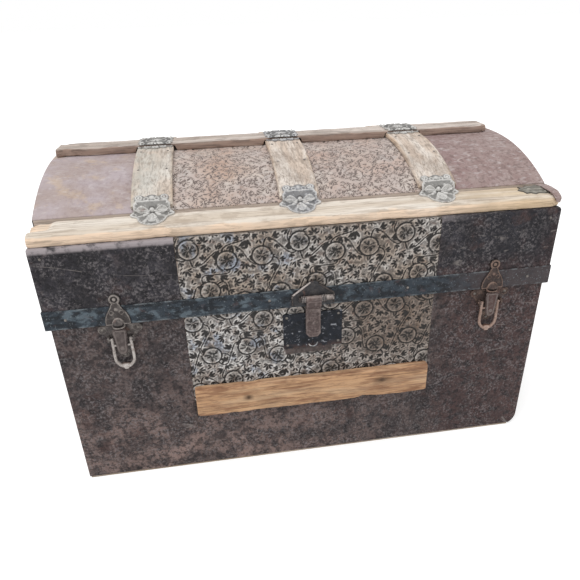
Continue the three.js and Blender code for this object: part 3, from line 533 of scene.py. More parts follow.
    @staticmethod
    def plain_dome_tin() -> Material:
        """Makes the dome's plain tin.

        Returns:
            The material.
        """
        return Finish(
            "dusty_dome_tin",
            "#a89894",
            (
                Coat("#b2a6aa", (by_noise(0.42, 0.6, 60, offset=1.7), by_x(220, 0)), 0.85),
                Coat("#7f6763", (by_noise(0.48, 0.6, 22, detail=9, offset=3.1), by_x(-420, 60)), 0.65),
                Coat("#876668", (by_x(150, 220), by_x(345, 255), by_noise(0.35, 0.6, 26, offset=8.8)), 0.55),
                Coat("#8d7672", (by_x(150, 300), by_noise(0.3, 0.55, 40, offset=2.0)), 0.6),
                Coat("#c4ad93", (by_noise(0.55, 0.66, 30, offset=6.1), by_x(60, -120)), 0.5),
                Coat("#6c5955", (by_noise(0.5, 0.6, 6.0, detail=8, offset=0.4), by_x(-480, 120)), 0.55),
                Coat("#cbc4c4", (by_noise(0.55, 0.66, 6.0, (0.5, 1, 1), 8, 7.7),), 0.4),
                Coat("#cfc6c2", (by_vein(0.005, 0.0, 60, (0.2, 1, 1), 1, 9.0), by_noise(0.52, 0.58, 20)), 0.5),
            ),
            (0.55, 0.8),
            0.1,
            ((by_noise(0.4, 0.6, 2.5), 0.15), (by_noise(0.3, 0.7, 45, detail=1), 0.5)),
        ).material()

    @staticmethod
    def japanned_tin() -> Material:
        """Makes the worn black tin of the walls, with a painted highlight on the lid's front shoulder.

        Returns:
            The material.
        """
        return Finish(
            "worn_japanned_tin_and_painted_highlight",
            "#5a4e4c",
            (
                Coat("#907a73", (by_z(170, 40), by_noise(0.2, 0.5, 70, offset=1.0), by_x(150, -120)), 0.85),
                Coat("#352b2a", (by_x(160, 250), by_noise(0.2, 0.45, 60, offset=4.0)), 0.75),
                Coat("#303138", (by_z(286, 300), by_noise(0.3, 0.44, 60, detail=9, offset=2.0)), 0.85),
                Coat("#232124", (by_noise(0.46, 0.56, 34, detail=10, offset=5.5),), 0.65),
                Coat("#4d3937", (by_x(350, 374), by_noise(0.3, 0.5, 24, offset=1.8)), 0.7),
                Coat("#4d3937", (by_x(190, 250), by_z(350, 326), by_noise(0.3, 0.5, 30, offset=2.8)), 0.7),
                Coat("#1a191c", (by_noise(0.5, 0.58, 9, detail=8, offset=3.5),), 0.65),
                Coat("#222126", (by_x(170, 230), by_z(316, 334), by_noise(0.3, 0.48, 34, offset=6.3)), 0.6),
                Coat("#5c443f", (by_noise(0.56, 0.68, 30, detail=9, offset=8.0),), 0.4),
                Coat(
                    "#8b8586", (by_noise(0.49, 0.6, 3.4, detail=5, offset=1.2), by_noise(0.35, 0.6, 30, offset=6.6)),
                    0.5,
                ),
                Coat("#1b1a1d", (by_noise(0.51, 0.58, 4.4, detail=5, offset=9.2),), 0.5),
                Coat("#a39d9a", (by_noise(0.62, 0.69, 2.2, offset=3.3), by_noise(0.42, 0.62, 22)), 0.5),
                Coat("#8f8884", (by_vein(0.004, 0.0, 70, (0.12, 1, 1), 1, 2.0), by_noise(0.53, 0.58, 30)), 0.6),
                # Painted highlight on the lid's rounded front shoulder under the rim slat, fading out to the right.
                Coat("#aaa1a3", (by_z(403.5, 407), by_y(-238, -242), by_noise(0.32, 0.5, 14), by_x(250, 100)), 0.8),
            ),
            (0.45, 0.75),
            0.0,
            ((by_noise(0.4, 0.6, 2.2), 0.15), (by_noise(0.3, 0.7, 70, detail=1), 0.8)),
            0.2,
        ).material()

    @staticmethod
    def enamelled_band() -> Material:
        """Makes the iron band's chipped enamel.

        Returns:
            The material.
        """
        return Finish(
            "chipped_band_enamel",
            "#2f373f",
            (
                Coat("#616d75", (by_noise(0.51, 0.6, 12, (0.6, 1, 1), 9, 1.1), by_x(200, -100)), 0.75),
                Coat("#14171c", (by_noise(0.47, 0.56, 10, (0.6, 1, 1), 9, 2.5),), 0.85),
                Coat("#423a3b", (by_x(200, 270), by_noise(0.25, 0.42, 30)), 0.88),
                Coat("#544547", (by_noise(0.58, 0.66, 12, offset=6.0),), 0.4),
                Coat("#7f8588", (by_z(316.8, 318.6), by_noise(0.45, 0.6, 14)), 0.7),
                Coat("#7f8588", (by_z(292.0, 290.2), by_noise(0.45, 0.6, 14)), 0.6),
                Coat("#8d979c", (by_noise(0.6, 0.68, 3.0),), 0.5),
            ),
            (0.4, 0.7),
            0.0,
            ((by_noise(0.4, 0.6, 3.0), 0.2), (by_noise(0.3, 0.7, 40, detail=1), 0.5)),
            0.25,
        ).material()

    @staticmethod
    def worn_iron(
        name: str, colour: str, light: str, dark: str, metallic: float, extra: tuple[Coat, ...] = ()
    ) -> Material:
        """Makes iron or steel with worn highs, painted shade in the hollows, and rust.

        Args:
            name: Finish name.
            colour: Usual colour.
            light: Rubbed highs.
            dark: Dark patches, and the painted shade in the hollows.
            metallic: How metallic it is.
            extra: Coats under the wear.

        Returns:
            The material.
        """
        return Finish(
            name,
            colour,
            (
                *extra,
                Coat(light, (by_noise(0.48, 0.66, 7.0, offset=1.0),), 0.6),
                Coat(light, (by_stored(0.5, 0.9),), 0.85),
                Coat(dark, (by_noise(0.54, 0.66, 4.0, offset=3.0),), 0.55),
                Coat("#6b4536", (by_noise(0.6, 0.7, 14.0, offset=5.0),), 0.5),
                # Painted shade in the hollows: the low parts of the stored relief turn dark, on pieces that store a
                # relief.
                Coat(dark, (by_stored(0.42, 0.12), by_stored(0.0, 0.01)), 0.9),
            ),
            (0.45, 0.75),
            metallic,
            ((by_noise(0.4, 0.6, 1.6), 0.15),),
        ).material()

    @staticmethod
    def harness_leather() -> Material:
        """Makes the handles' leather.

        Returns:
            The material.
        """
        return Finish(
            "old_harness_leather",
            "#4c3326",
            (
                Coat("#6d4c38", (by_noise(0.48, 0.66, 16.0),), 0.7),
                Coat("#2c1d16", (by_vein(0.02, 0.0, 7.0, (1, 0.5, 1), 3),), 0.7),
                Coat("#8d6c54", (by_noise(0.6, 0.72, 5.0, offset=2.0),), 0.5),
            ),
            (0.5, 0.75),
            0.0,
            ((by_vein(0.0, 0.03, 7.0, (1, 0.5, 1), 3), 0.3), (by_noise(0.4, 0.6, 1.5), 0.15)),
        ).material()


def dress(material: Material, *names: str) -> None:
    """Gives CAD pieces a material and leaves their shape alone.

    Args:
        material: Their finish.
        *names: Names of CAD nodes.
    """
    for name in names:
        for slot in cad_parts[name].material_slots:
            slot.material = material


# ---------------------------------------------------------------------------------------------
# Embossed tin


@dataclass(frozen=True)
class Scrollwork:
    """A traditional repeat of ringed rosettes joined by leafy scrolls, as a height map that tiles."""

    width: float = 156.0
    height: float = 124.0
    step: float = 0.5
    petal_reach: float = 11.6
    ring: float = 14.6
    ground: float = 0.72
    # Place and number of petals of each rosette.
    rosettes: tuple[tuple[float, float, int], ...] = (
        (22, 24, 7), (76, 40, 8), (128, 20, 8), (46, 88, 8), (100, 98, 7), (148, 78, 9),
    )
    # Rosettes that each vine joins, and how far it bows.
    joins: tuple[tuple[int, int, float], ...] = (
        (0, 1, 0.5), (1, 2, -0.5), (2, 0, 0.5), (3, 1, 0.45), (3, 4, -0.5),
        (4, 5, 0.5), (5, 3, -0.5), (4, 2, 0.45), (5, 2, 0.4), (0, 3, 0.35),
    )
    leaf_length: float = 11.8
    leaf_width: float = 1.75
    line: float = 0.84
    sprig_tries: int = 900
    seed: int = 11

    def offsets(self, u: float, v: float) -> tuple[Array, Array]:
        """Measures the whole raster from a point, round and round the tile.

        Args:
            u: Point across.
            v: Point along.

        Returns:
            Nearest offsets across and along.
        """
        across = np.arange(0, self.width, self.step)
        along = np.arange(0, self.height, self.step)
        du = (across - u + self.width / 2) % self.width - self.width / 2
        dv = (along - v + self.height / 2) % self.height - self.height / 2
        return np.meshgrid(du, dv)

    def finger(self, field: Array, u: float, v: float, angle: float, scale: float) -> Array:
        """Sinks one teardrop of a leaf into the field, with a raised lip round it.

        Args:
            field: Height map.
            u: Its foot across.
            v: Its foot along.
            angle: Its heading.
            scale: Its size.

        Returns:
            The new height map.
        """
        du, dv = self.offsets(u, v)
        share = (du * math.cos(angle) + dv * math.sin(angle)) / (self.leaf_length * scale)
        across = abs(dv * math.cos(angle) - du * math.sin(angle) - 1.6 * scale * share**2)
        half = self.leaf_width * scale * np.sin(np.pi * np.clip(share, 0.04, 1) ** 1.5) ** 0.7
        rim = np.where((share > 0.04) & (share < 1), half - across, -across - 6 * abs(share - np.clip(share, 0.04, 1)))
        lip = smooth(-2.7, -1.5, rim) * smooth(0.2, -0.5, rim)
        return np.minimum(field, 1 - smooth(-0.45, 0.55, rim)) + 0.28 * lip

    def leaf(self, field: Array, u: float, v: float, angle: float, scale: float, turns: Sequence[float]) -> Array:
        """Sinks a leaf as a fan of teardrops.

        Args:
            field: Height map.
            u: Its foot across.
            v: Its foot along.
            angle: Its heading.
            scale: Its size.
            turns: Turn of each teardrop from the heading.

        Returns:
            The new height map.
        """
        for n, turn in enumerate(turns):
            field = self.finger(
                field, u, v, angle + turn, scale * (1 - 0.22 * abs(turn)) * (1 + 0.1 * math.sin(7 * n + u))
            )
        return field

    def scroll(self, field: Array, start: int, end: int, bow: float, hand: int) -> Array:
        """Lays a double-curved vine with its leaves from one rosette to the nearest copy of another.

        Args:
            field: Height map.
            start: Rosette that it leaves.
            end: Rosette that it reaches.
            bow: How far it bows.
            hand: Side of its first leaf.

        Returns:
            The new height map.
        """
        size = np.array([self.width, self.height])
        a, b = (np.array(self.rosettes[n][:2], float) for n in (start, end))
        span = (b - a + size / 2) % size - size / 2
        side = np.array([-span[1], span[0]]) * bow
        t = np.linspace(0, 1, 150)[:, None]
        line = a + span * t + side * (0.62 * np.sin(2 * np.pi * t) + 0.25 * np.sin(np.pi * t))
        nearest = np.full(field.shape, 999.0)
        for point in line:
            du, dv = self.offsets(point[0], point[1])
            nearest = np.minimum(nearest, du * du + dv * dv)
        nearest = np.sqrt(nearest)
        groove = (
            smooth(self.line + 0.45, self.line - 0.2, nearest)
            + 0.55 * smooth(0.8, 0.3, abs(nearest - 3.4)) * (hand % 2)
        )
        field = np.minimum(field, 1 - groove) + 0.28 * smooth(0.9, 1.4, nearest) * smooth(3.2, 2.0, nearest)
        for k, share in enumerate((0.25, 0.36, 0.47, 0.58, 0.7)):
            index = int(share * (len(line) - 2))
            heading = math.atan2(*(line[index + 1] - line[index])[::-1])
            turn = 1 if (k + hand) % 2 else -1
            square = heading + turn * math.pi / 2
            foot = line[index] + 1.8 * np.array([math.cos(square), math.sin(square)])
            field = self.leaf(field, foot[0], foot[1], heading + 0.8 * turn, 1.1 if k % 2 else 0.8, (-0.55, 0.0, 0.5))
        return field

    def sprigs(self, field: Array) -> Array:
        """Fills the bare ground with leaves of five teardrops, then with smaller ones.

        Args:
            field: Height map.

        Returns:
            The new height map.
        """
        random = np.random.default_rng(self.seed)
        taken = abs(field - self.ground) > 0.1
        for u, v, _ in self.rosettes:
            du, dv = self.offsets(u, v)
            taken |= np.hypot(du, dv) < self.ring + 1.0
        bearings = np.linspace(0, 2 * np.pi, 13)[:-1]
        fans = ((-1.3, -0.65, 0.0, 0.65, 1.3), (-1.1, -0.4, 0.4, 1.1), (-0.5, 0.5), (0.0,))
        for room, scale, turns in zip((7.0, 5.6, 3.8, 2.6), (1.0, 0.85, 0.75, 0.55), fans):
            reach = np.array([0.35, 0.7, 1.0])[:, None] * room
            for _ in range(self.sprig_tries):
                u, v, angle = (random.uniform(0, most) for most in (self.width, self.height, 2 * math.pi))
                i = ((u + reach * np.cos(bearings)) % self.width / self.step).astype(int) % field.shape[1]
                j = ((v + reach * np.sin(bearings)) % self.height / self.step).astype(int) % field.shape[0]
                if not taken[j, i].any():
                    back = 0.42 * scale * self.leaf_length
                    field = self.leaf(
                        field, u - back * math.cos(angle), v - back * math.sin(angle), angle, scale, turns
                    )
                    du, dv = self.offsets(u, v)
                    taken |= np.hypot(du, dv) < room
        return field

    def rosette(self, field: Array, n: int) -> Array:
        """Lays one rosette of sunk petals inside a ring that coils outwards into the scrolls.

        Args:
            field: Height map.
            n: Which rosette.

        Returns:
            The new height map.
        """
        u, v, petals = self.rosettes[n]
        hand = (-1) ** n
        du, dv = self.offsets(u, v)
        r, bearing = np.hypot(du, dv), np.arctan2(dv, du)
        coil = self.ring - 1.2 + 2.4 * ((bearing * hand + n) % (2 * np.pi)) / (2 * np.pi)
        groove = smooth(self.line + 0.45, self.line - 0.25, abs(r - coil))
        disc = np.clip(0.98 - groove - 0.2 * smooth(coil - 2.6, coil - 3.6, r), 0, 1)
        angle = bearing + 0.4 * n + 0.03 * r * hand + 0.1 * np.sin(3 * bearing + n)
        index = np.round(angle * petals / (2 * np.pi))
        off = abs(angle - index * 2 * np.pi / petals) * r
        reach = self.petal_reach * (0.9 + 0.16 * np.sin(index * 2.3 + n))
        share = np.clip((r - 1.9) / (reach - 1.9), 0, 1)
        half = (0.5 + 1.55 * share) * np.sqrt(np.clip(1 - share**5, 0, 1)) * (0.9 + 0.2 * np.sin(index * 4.1 + 2 * n))
        petal = smooth(-0.35, 0.45, half - off) * smooth(1.3, 2.2, r) * smooth(reach + 0.4, reach - 0.6, r)
        vein = smooth(0.75, 0.35, off) * smooth(4.5, 6.0, r) * 0.8
        disc = disc * (1 - petal * (1 - vein))
        return np.where(r < coil + self.line, disc, np.minimum(field, 1 - groove))

    def field(self) -> Array:
        """Draws the whole tile.

        Returns:
            The height map, 0 in the recesses to 1 on the highs.
        """
        du, dv = self.offsets(0, 0)
        field = np.full(du.shape, self.ground)
        for hand, (start, end, bow) in enumerate(self.joins):
            field = self.scroll(field, start, end, bow, hand)
        field = self.sprigs(field)
        for n in range(len(self.rosettes)):
            field = self.rosette(field, n)
        spots = np.column_stack([du.ravel(), dv.ravel()])
        grain = (lattice_noise(spots, 4.0, 3) + 0.8 * lattice_noise(spots, 2.0, 4)).reshape(du.shape)
        field = field + 0.16 * grain - 0.4 * smooth(0.25, 0.7, grain)
        return np.clip(field, 0, 1)

    @staticmethod
    def drawn(field: Array) -> Array:
        """Draws the same design as sunk outlines only.

        Args:
            field: Height map.

        Returns:
            The height map of the outlines.
        """
        across = np.roll(field, -1, 1) - np.roll(field, 1, 1)
        along = np.roll(field, -1, 0) - np.roll(field, 1, 0)
        return 1 - smooth(0.22, 0.6, np.hypot(across, along))

    def sample(self, field: Array, u: Array, v: Array) -> Array:
        """Reads the tile round and round.

        Args:
            field: Height map.
            u: Positions across.
            v: Positions along.

        Returns:
            Height at the positions.
        """
        x, y = u / self.step, v / self.step
        i, j = np.floor(x).astype(int), np.floor(y).astype(int)
        fx, fy = x - i, y - j
        rows, columns = field.shape
        corner = [field[(j + b) % rows, (i + a) % columns] for b in (0, 1) for a in (0, 1)]
        low = corner[0] * (1 - fx) + corner[1] * fx
        high = corner[2] * (1 - fx) + corner[3] * fx
        return low * (1 - fy) + high * fy


def sheet_between(front: Array, back: Array, keep: Array) -> Solid:
    """Closes two grids of points into one solid sheet.

    Args:
        front: Outer grid, rows by columns by 3.
        back: Inner grid of the same shape.
        keep: Which cells of the grid hold sheet, rows less one by columns less one.

    Returns:
        Vertices and faces.
    """
    rows, columns = front.shape[:2]
    count = rows * columns
    index = np.arange(count).reshape(rows, columns)
    a, b, c, d = index[:-1, :-1], index[:-1, 1:], index[1:, 1:], index[1:, :-1]
    quads = np.stack([a, b, c, d], axis=-1)[keep]
    faces = [tuple(q) for q in quads.tolist()]
    faces += [tuple(count + i for i in reversed(q)) for q in quads.tolist()]
    solid = np.pad(keep, 1)
    inner = solid[1:-1, 1:-1]
    sides = (
        (inner & ~solid[:-2, 1:-1], a, b),
        (inner & ~solid[2:, 1:-1], c, d),
        (inner & ~solid[1:-1, :-2], d, a),
        (inner & ~solid[1:-1, 2:], b, c),
    )
    for edge, start, end in sides:
        for i, j in zip(start[edge].tolist(), end[edge].tolist()):
            faces.append((i, count + i, count + j, j))
    vertices = np.concatenate([front.reshape(-1, 3), back.reshape(-1, 3)])
    used = np.zeros(len(vertices), bool)
    used[np.concatenate([quads.ravel(), quads.ravel() + count])] = True
    number = np.cumsum(used) - 1
    return vertices[used], [tuple(int(number[i]) for i in f) for f in faces]


@dataclass(frozen=True)
class EmbossedPanels:
    """The stamped tin of the front, the lid and the dome's middle."""

    looks: Looks
    step: float = 1.35
    dome_step: float = 1.45
    depth: float = 1.4
    proud: float = 0.5
    sheet: float = 0.15
    body_foot: float = 134.0
    body_top: float = 288.7
    case_hole: tuple[float, float, float, float] = (-22.0, 28.0, 229.0, 267.5)
    keyway_hole: tuple[float, float, float, float] = (-2.0, 8.0, 239.0, 290.0)
    pressed: tuple[float, float, float, float] = (-44.0, 36.0, 202.0, 240.0)
    fold_radius: float = 4.0
    fold_back: float = 12.0
    dome_left: float = -216.85
    dome_right: float = 206.85
    dome_seam: float = HOOP_CENTRES[1]
    scrolls: Scrollwork = Scrollwork()

    def panel(
        self, name: str, node: str, body: str, path: Array, normals: Array, xs: Array, material: Material,
        field: Array, shift: Point, flat: bool = False,
    ) -> None:
        """Builds one embossed sheet along a profile in the YZ plane.

        Args:
            name: Piece name.
            node: CAD sheet that it stands for.
            body: Body that it rides on.
            path: Profile points as (y, z), foot to top.
            normals: Outward normals of the profile, one for each point.
            xs: Positions across.
            material: Finish.
            field: Height map of the pattern.
            shift: Start of the pattern.
            flat: Leaves the profile's last points, under a slat, unstamped.
        """
        run = np.concatenate([[0], np.cumsum(np.hypot(*np.diff(path, axis=0).T))])
        u, v = np.meshgrid(xs + shift[0], run + shift[1])
        relief = self.scrolls.sample(field, u, v)
        if flat:
            relief = (
                relief * smooth(run[-1] - 4, run[-1] - 14, v - shift[1])
                + 0.6 * smooth(run[-1] - 14, run[-1] - 4, v - shift[1])
            )
        if node == "body_tin_embossed":
            # Under the lock's plate the tin is pressed flat and only dented.
            left, right, foot, top = self.pressed
            rows = smooth(foot, foot + 3, path[:, 1]) * smooth(top, top - 5, path[:, 1])
            strip = (smooth(left, left + 3, xs) * smooth(right, right - 3, xs))[None] * rows[:, None]
            dents = lattice_noise(np.column_stack([u.ravel(), v.ravel()]), 5.0).reshape(u.shape)
            relief = relief * (1 - strip) + (0.75 + 0.2 * dents) * strip
        level = (relief - 1) * self.depth + self.proud
        grid = np.zeros((len(run), len(xs), 3))
        grid[..., 0] = xs
        grid[..., 1] = path[:, None, 0]
        grid[..., 2] = path[:, None, 1]
        out = np.zeros((len(run), 1, 3))
        out[:, 0, 1:] = normals
        front = grid + out * level[..., None]
        back = grid - out * (self.depth + self.sheet)
        keep = np.ones((len(run) - 1, len(xs) - 1), bool)
        if node == "body_tin_embossed":
            for x0, x1, z0, z1 in (self.case_hole, self.keyway_hole):
                across = (xs[:-1] > x0) & (xs[1:] < x1)
                keep[np.ix_((path[:-1, 1] > z0) & (path[1:, 1] < z1), across)] = False
        vertices, faces = sheet_between(front, back, keep)
        cells = np.pad(keep, 1)
        used = cells[:-1, :-1] | cells[1:, 1:] | cells[1:, :-1] | cells[:-1, 1:]
        stored = {"relief": np.tile(relief[used], 2)}
        obj = make_object(name, vertices, faces, material, body, 75, stored)
        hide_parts(node)

    def build(self) -> None:
        """Builds the three panels."""
        field = self.scrolls.field()
        xs = np.linspace(PANEL_LEFT, PANEL_RIGHT, round((PANEL_RIGHT - PANEL_LEFT) / self.step) + 1)
        zs = np.linspace(self.body_foot, self.body_top, round((self.body_top - self.body_foot) / self.step) + 1)
        wall = np.column_stack([np.full_like(zs, BODY_FRONT), zs])
        out = np.tile([-1.0, 0.0], (len(zs), 1))
        self.panel(
            "embossed_body_panel", "body_tin_embossed", "body", wall, out, xs, self.looks.embossed, field, (200, 6)
        )
        zs = np.linspace(LID_FOOT, LID_SEAT - self.fold_radius, 88)
        rise = np.column_stack([np.full_like(zs, -LID_HALF_DEPTH), zs])
        turn = np.linspace(0, math.pi / 2, 7)[1:]
        centre = np.array([-LID_HALF_DEPTH + self.fold_radius, LID_SEAT - self.fold_radius])
        facing = np.column_stack([-np.cos(turn), np.sin(turn)])
        bend = centre + self.fold_radius * facing
        ys = np.linspace(centre[0], -LID_HALF_DEPTH + self.fold_back, 7)[1:]
        shelf = np.column_stack([ys, np.full_like(ys, LID_SEAT)])
        path = np.concatenate([rise, bend, shelf])
        out = np.concatenate([np.tile([-1.0, 0.0], (len(rise), 1)), facing, np.tile([0.0, 1.0], (len(shelf), 1))])
        self.panel(
            "embossed_lid_panel", "lid_tin_embossed", "lid", path, out, xs, self.looks.embossed, field, (247, 60), True
        )
        ys = np.linspace(-DOME_HALF_SPAN, DOME_HALF_SPAN, 285)
        path = np.column_stack([ys, dome_height(ys)])
        slope = -DOME_RISE * DOME_POWER * np.sign(ys) * (abs(ys) / LID_HALF_DEPTH) ** (DOME_POWER - 1) / LID_HALF_DEPTH
        out = np.column_stack([-slope, np.ones_like(slope)]) / np.hypot(slope, 1)[:, None]
        for side, x0, x1 in (("left", self.dome_left, self.dome_seam), ("right", self.dome_seam, self.dome_right)):
            xs = np.linspace(x0, x1, round((x1 - x0) / self.dome_step) + 1)
            self.panel(
                f"embossed_dome_panel_{side}", "dome_tin_embossed", "lid", path, out, xs, self.looks.dome_embossed,
                self.scrolls.drawn(field), (217, 30),
            )


# ---------------------------------------------------------------------------------------------
# Wooden slats and hoops


def rounded_section(corners: Sequence[Point], radii: Sequence[float], spacing: float) -> tuple[Array, Array]:
    """Rounds a polygon's corners and divides its sides.

    Args:
        corners: Polygon corners in order.
        radii: Radius at each corner.
        spacing: Greatest distance between points on the sides.

    Returns:
        Points, and how much each belongs to a corner, 0 to 1.
    """
    points, weights = [], []
    count = len(corners)
    for k in range(count):
        before, here, after = (np.array(corners[(k + d) % count], float) for d in (-1, 0, 1))
        back, on = before - here, after - here
        back, on = back / np.hypot(*back), on / np.hypot(*on)
        half = math.acos(float(np.clip(back @ on, -1, 1))) / 2
        cut = radii[k] / math.tan(half)
        start, end = here + back * cut, here + on * cut
        for t in np.linspace(0, 1, 6):
            curved = (1 - t) ** 2 * start + 2 * t * (1 - t) * here + t * t * end
            points.append(curved)
            weights.append(1 - 0.5 * abs(2 * t - 1))
        follow = np.array(corners[(k + 1) % count], float)
        ahead = np.array(corners[(k + 2) % count], float)
        to_next = ahead - follow
        to_next = to_next / np.hypot(*to_next)
        half_next = math.acos(float(np.clip(-on @ to_next, -1, 1))) / 2
        stop = follow - on * radii[(k + 1) % count] / math.tan(half_next)
        pieces = max(int(np.hypot(*(stop - end)) / spacing), 1)
        for n in range(1, pieces):
            points.append(end + (stop - end) * n / pieces)
            weights.append(0.0)
    return np.array(points), np.array(weights)


@dataclass(frozen=True)
class Chip:
    """A piece broken off a slat: where along it, on which side of its section, and how deep."""

    at: float
    length: float
    toward: Point
    depth: float


@dataclass(frozen=True)
class Slat:
    """A straight wooden slat along X with worn edges."""

    name: str
    node: str
    body: str
    left: float
    right: float
    corners: tuple[Point, ...]
    radii: tuple[float, ...]
    chips: tuple[Chip, ...] = ()
    notches: tuple[tuple[float, float, float], ...] = ()
    wear: float = 1.1
    spacing: float = 2.4
    pitch: float = 3.6
    seed: int = 1

    def build(self, material: Material) -> bpy.types.Object:
        """Builds the slat, which stands for its CAD node.

        Args:
            material: Finish.

        Returns:
            The piece.
        """
        section, weight = rounded_section(self.corners, self.radii, self.spacing)
        middle = section.mean(axis=0)
        turned = np.roll(section, -1, axis=0) - np.roll(section, 1, axis=0)
        level = abs(turned[:, 0]) / np.hypot(turned[:, 0], turned[:, 1])
        sheltered = np.maximum(smooth(0.85, 0.4, level), section[:, 1] < middle[1])
        stations = np.linspace(self.left, self.right, round((self.right - self.left) / self.pitch) + 1)
        rings, edges = [], []
        for x in stations:
            spots = np.column_stack([np.full(len(section), x), section])
            rough = lattice_noise(spots, 26.0, self.seed) + 0.6 * lattice_noise(spots, 7.0, self.seed + 1)
            inward = middle - section
            inward = inward / np.hypot(inward[:, 0], inward[:, 1])[:, None]
            depth = weight * self.wear * np.clip(0.35 + rough, 0, 2)
            depth += 0.25 * np.clip(lattice_noise(spots * [0.12, 1, 1], 3.0, self.seed + 2), 0, 1)
            end = min(x - self.left, self.right - x)
            depth += 1.2 * smooth(3.0, 0.0, np.full(len(section), end)) * (0.5 + weight)
            for chip in self.chips:
                toward = np.array(chip.toward) - middle
                side = (section - middle) @ toward / (toward @ toward)
                reach = smooth(chip.length, 0.35 * chip.length, np.full(len(section), abs(x - chip.at)))
                depth += chip.depth * reach * smooth(0.35, 0.95, side) * (0.8 + 0.4 * rough)
            ring = section + inward * depth[:, None]
            for start, stop, least in self.notches:
                if start < x < stop:
                    ring[:, 1] = np.maximum(ring[:, 1], least)
            rings.append(np.column_stack([np.full(len(ring), x), ring]))
            edges.append(np.clip(0.9 * sheltered + 0.4 * rough * weight + 0.2 * depth, 0, 1))
        vertices, faces = loft(np.array(rings))
        obj = make_object(self.name, vertices, faces, material, self.body, 50, {"edge": np.concatenate(edges)})
        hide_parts(self.node)
        return obj


def loft(rings: Array) -> Solid:
    """Joins rings of points into a closed solid.

    Args:
        rings: Stations by points by 3.

    Returns:
        Vertices and faces, with a flat face on each end.
    """
    stations, count = rings.shape[:2]
    faces: list[tuple[int, ...]] = []
    for s in range(stations - 1):
        base, above = s * count, (s + 1) * count
        faces += [(base + k, base + (k + 1) % count, above + (k + 1) % count, above + k) for k in range(count)]
    faces.append(tuple(reversed(range(count))))
    faces.append(tuple((stations - 1) * count + k for k in range(count)))
    return rings.reshape(-1, 3), faces


@dataclass(frozen=True)
class Slats:
    """The two rim slats and the lower front slat."""

    looks: Looks
    inner: float = 197.0
    outer: float = 243.0
    foot: float = 412.3
    top: float = 432.3
    outer_top: float = 427.3
    lower_foot: float = 111.0
    lower_top: float = 163.0
    lower_front: float = -260.3
    lower_back: float = -247.3

    def build(self) -> None:
        """Builds the slats."""
        for name, sign, seed in (("front", -1, 5), ("back", 1, 9)):
            inner, outer = sign * self.inner, sign * self.outer
            edge = (outer, self.outer_top)
            corners = ((inner, self.foot), (outer, self.foot), edge, (inner, self.top))
            chips = (
                Chip(-372, 26, (sign * 215.0, self.top), 6.0), Chip(-205, 16, edge, 2.0), Chip(120, 24, edge, 1.6),
                Chip(378, 9, edge, 3.0),
            )
            Slat(
                f"rim_slat_{name}_wood", f"rim_slat_{name}", "lid", -LID_HALF_WIDTH, LID_HALF_WIDTH, corners,
                (1.0, 1.6, 8.0, 1.6), chips, seed=seed,
            ).build(self.looks.slat)
        back, front, foot, top = self.lower_back, self.lower_front, self.lower_foot, self.lower_top
        corners = ((back, foot), (back, top), (front, top), (front, foot))
        chips = (Chip(-100, 18, (front, top), 2.0), Chip(96, 30, (front, foot), 1.8))
        Slat(
            "lower_slat_wood", "lower_slat", "body", FRONT_SHIFT - 189, FRONT_SHIFT + 189, corners,
            (0.8, 0.8, 2.8, 2.8), chips, seed=3,
        ).build(self.looks.lower_slat)


def evaluated_mesh(obj: bpy.types.Object) -> Solid:
    """Turns an object with a modifier into plain vertices and faces, and deletes it.

    Args:
        obj: Object whose modifiers make its shape.

    Returns:
        Vertices in millimetres and faces.
    """
    graph = bpy.context.evaluated_depsgraph_get()
    mesh = bpy.data.meshes.new_from_object(obj.evaluated_get(graph))
    vertices = np.empty(len(mesh.vertices) * 3)
    mesh.vertices.foreach_get("co", vertices)
    faces = [tuple(p.vertices) for p in mesh.polygons]
    source = obj.data
    bpy.data.objects.remove(obj)
    bpy.data.meshes.remove(source)
    bpy.data.meshes.remove(mesh)
    return vertices.reshape(-1, 3) / MM, faces


def run_nodes(tree: Tree, vertices: Array, values: dict[str, Any], stored: dict[str, Array] | None = None) -> Solid:
    """Evaluates a Geometry Nodes tree once on loose points.

    Args:
        tree: The tree, with named inputs.
        vertices: Positions in millimetres of the points it starts from.
        values: Input values by socket name, lengths in metres.
        stored: Attributes of the points by name, floats or vectors.

    Returns:
        Vertices in millimetres and faces.
    """
    mesh = bpy.data.meshes.new(tree.name)
    mesh.from_pydata((np.asarray(vertices, float) * MM).tolist(), [], [])
    for key, data in (stored or {}).items():
        kind, field = ("FLOAT_VECTOR", "vector") if data.ndim == 2 else ("FLOAT", "value")
        mesh.attributes.new(key, kind, "POINT").data.foreach_set(field, data.astype(np.float32).ravel())
    obj = bpy.data.objects.new(tree.name, mesh)
    bpy.context.scene.collection.objects.link(obj)
    modifier = obj.modifiers.new(tree.name, "NODES")
    modifier.node_group = tree
    for item in tree.interface.items_tree:
        if item.item_type == "SOCKET" and item.in_out == "INPUT" and item.name in values:
            modifier[item.identifier] = values[item.name]
    return evaluated_mesh(obj)


def new_tree(name: str, inputs: dict[str, str]) -> tuple[Tree, bpy.types.Node]:
    """Starts a Geometry Nodes tree.

    Args:
        name: Tree name.
        inputs: Socket type of each named input.

    Returns:
        The tree and its input node.
    """
    tree = bpy.data.node_groups.new(name, "GeometryNodeTree")
    tree.interface.new_socket("Geometry", in_out="INPUT", socket_type="NodeSocketGeometry")
    for key, kind in inputs.items():
        tree.interface.new_socket(key, in_out="INPUT", socket_type=kind)
    tree.interface.new_socket("Geometry", in_out="OUTPUT", socket_type="NodeSocketGeometry")
    return tree, add_node(tree, "NodeGroupInput")


def finish_tree(tree: Tree, geometry: Socket, material: Socket) -> None:
    """Ends a Geometry Nodes tree in realized, finished geometry.

    Args:
        tree: The tree.
        geometry: Geometry to end with.
        material: Finish of all of it.
    """
    real = add_node(tree, "GeometryNodeRealizeInstances", {0: geometry})
    done = add_node(tree, "GeometryNodeSetMaterial", {"Geometry": real.outputs[0], "Material": material})
    add_node(tree, "NodeGroupOutput", {0: done.outputs[0]})


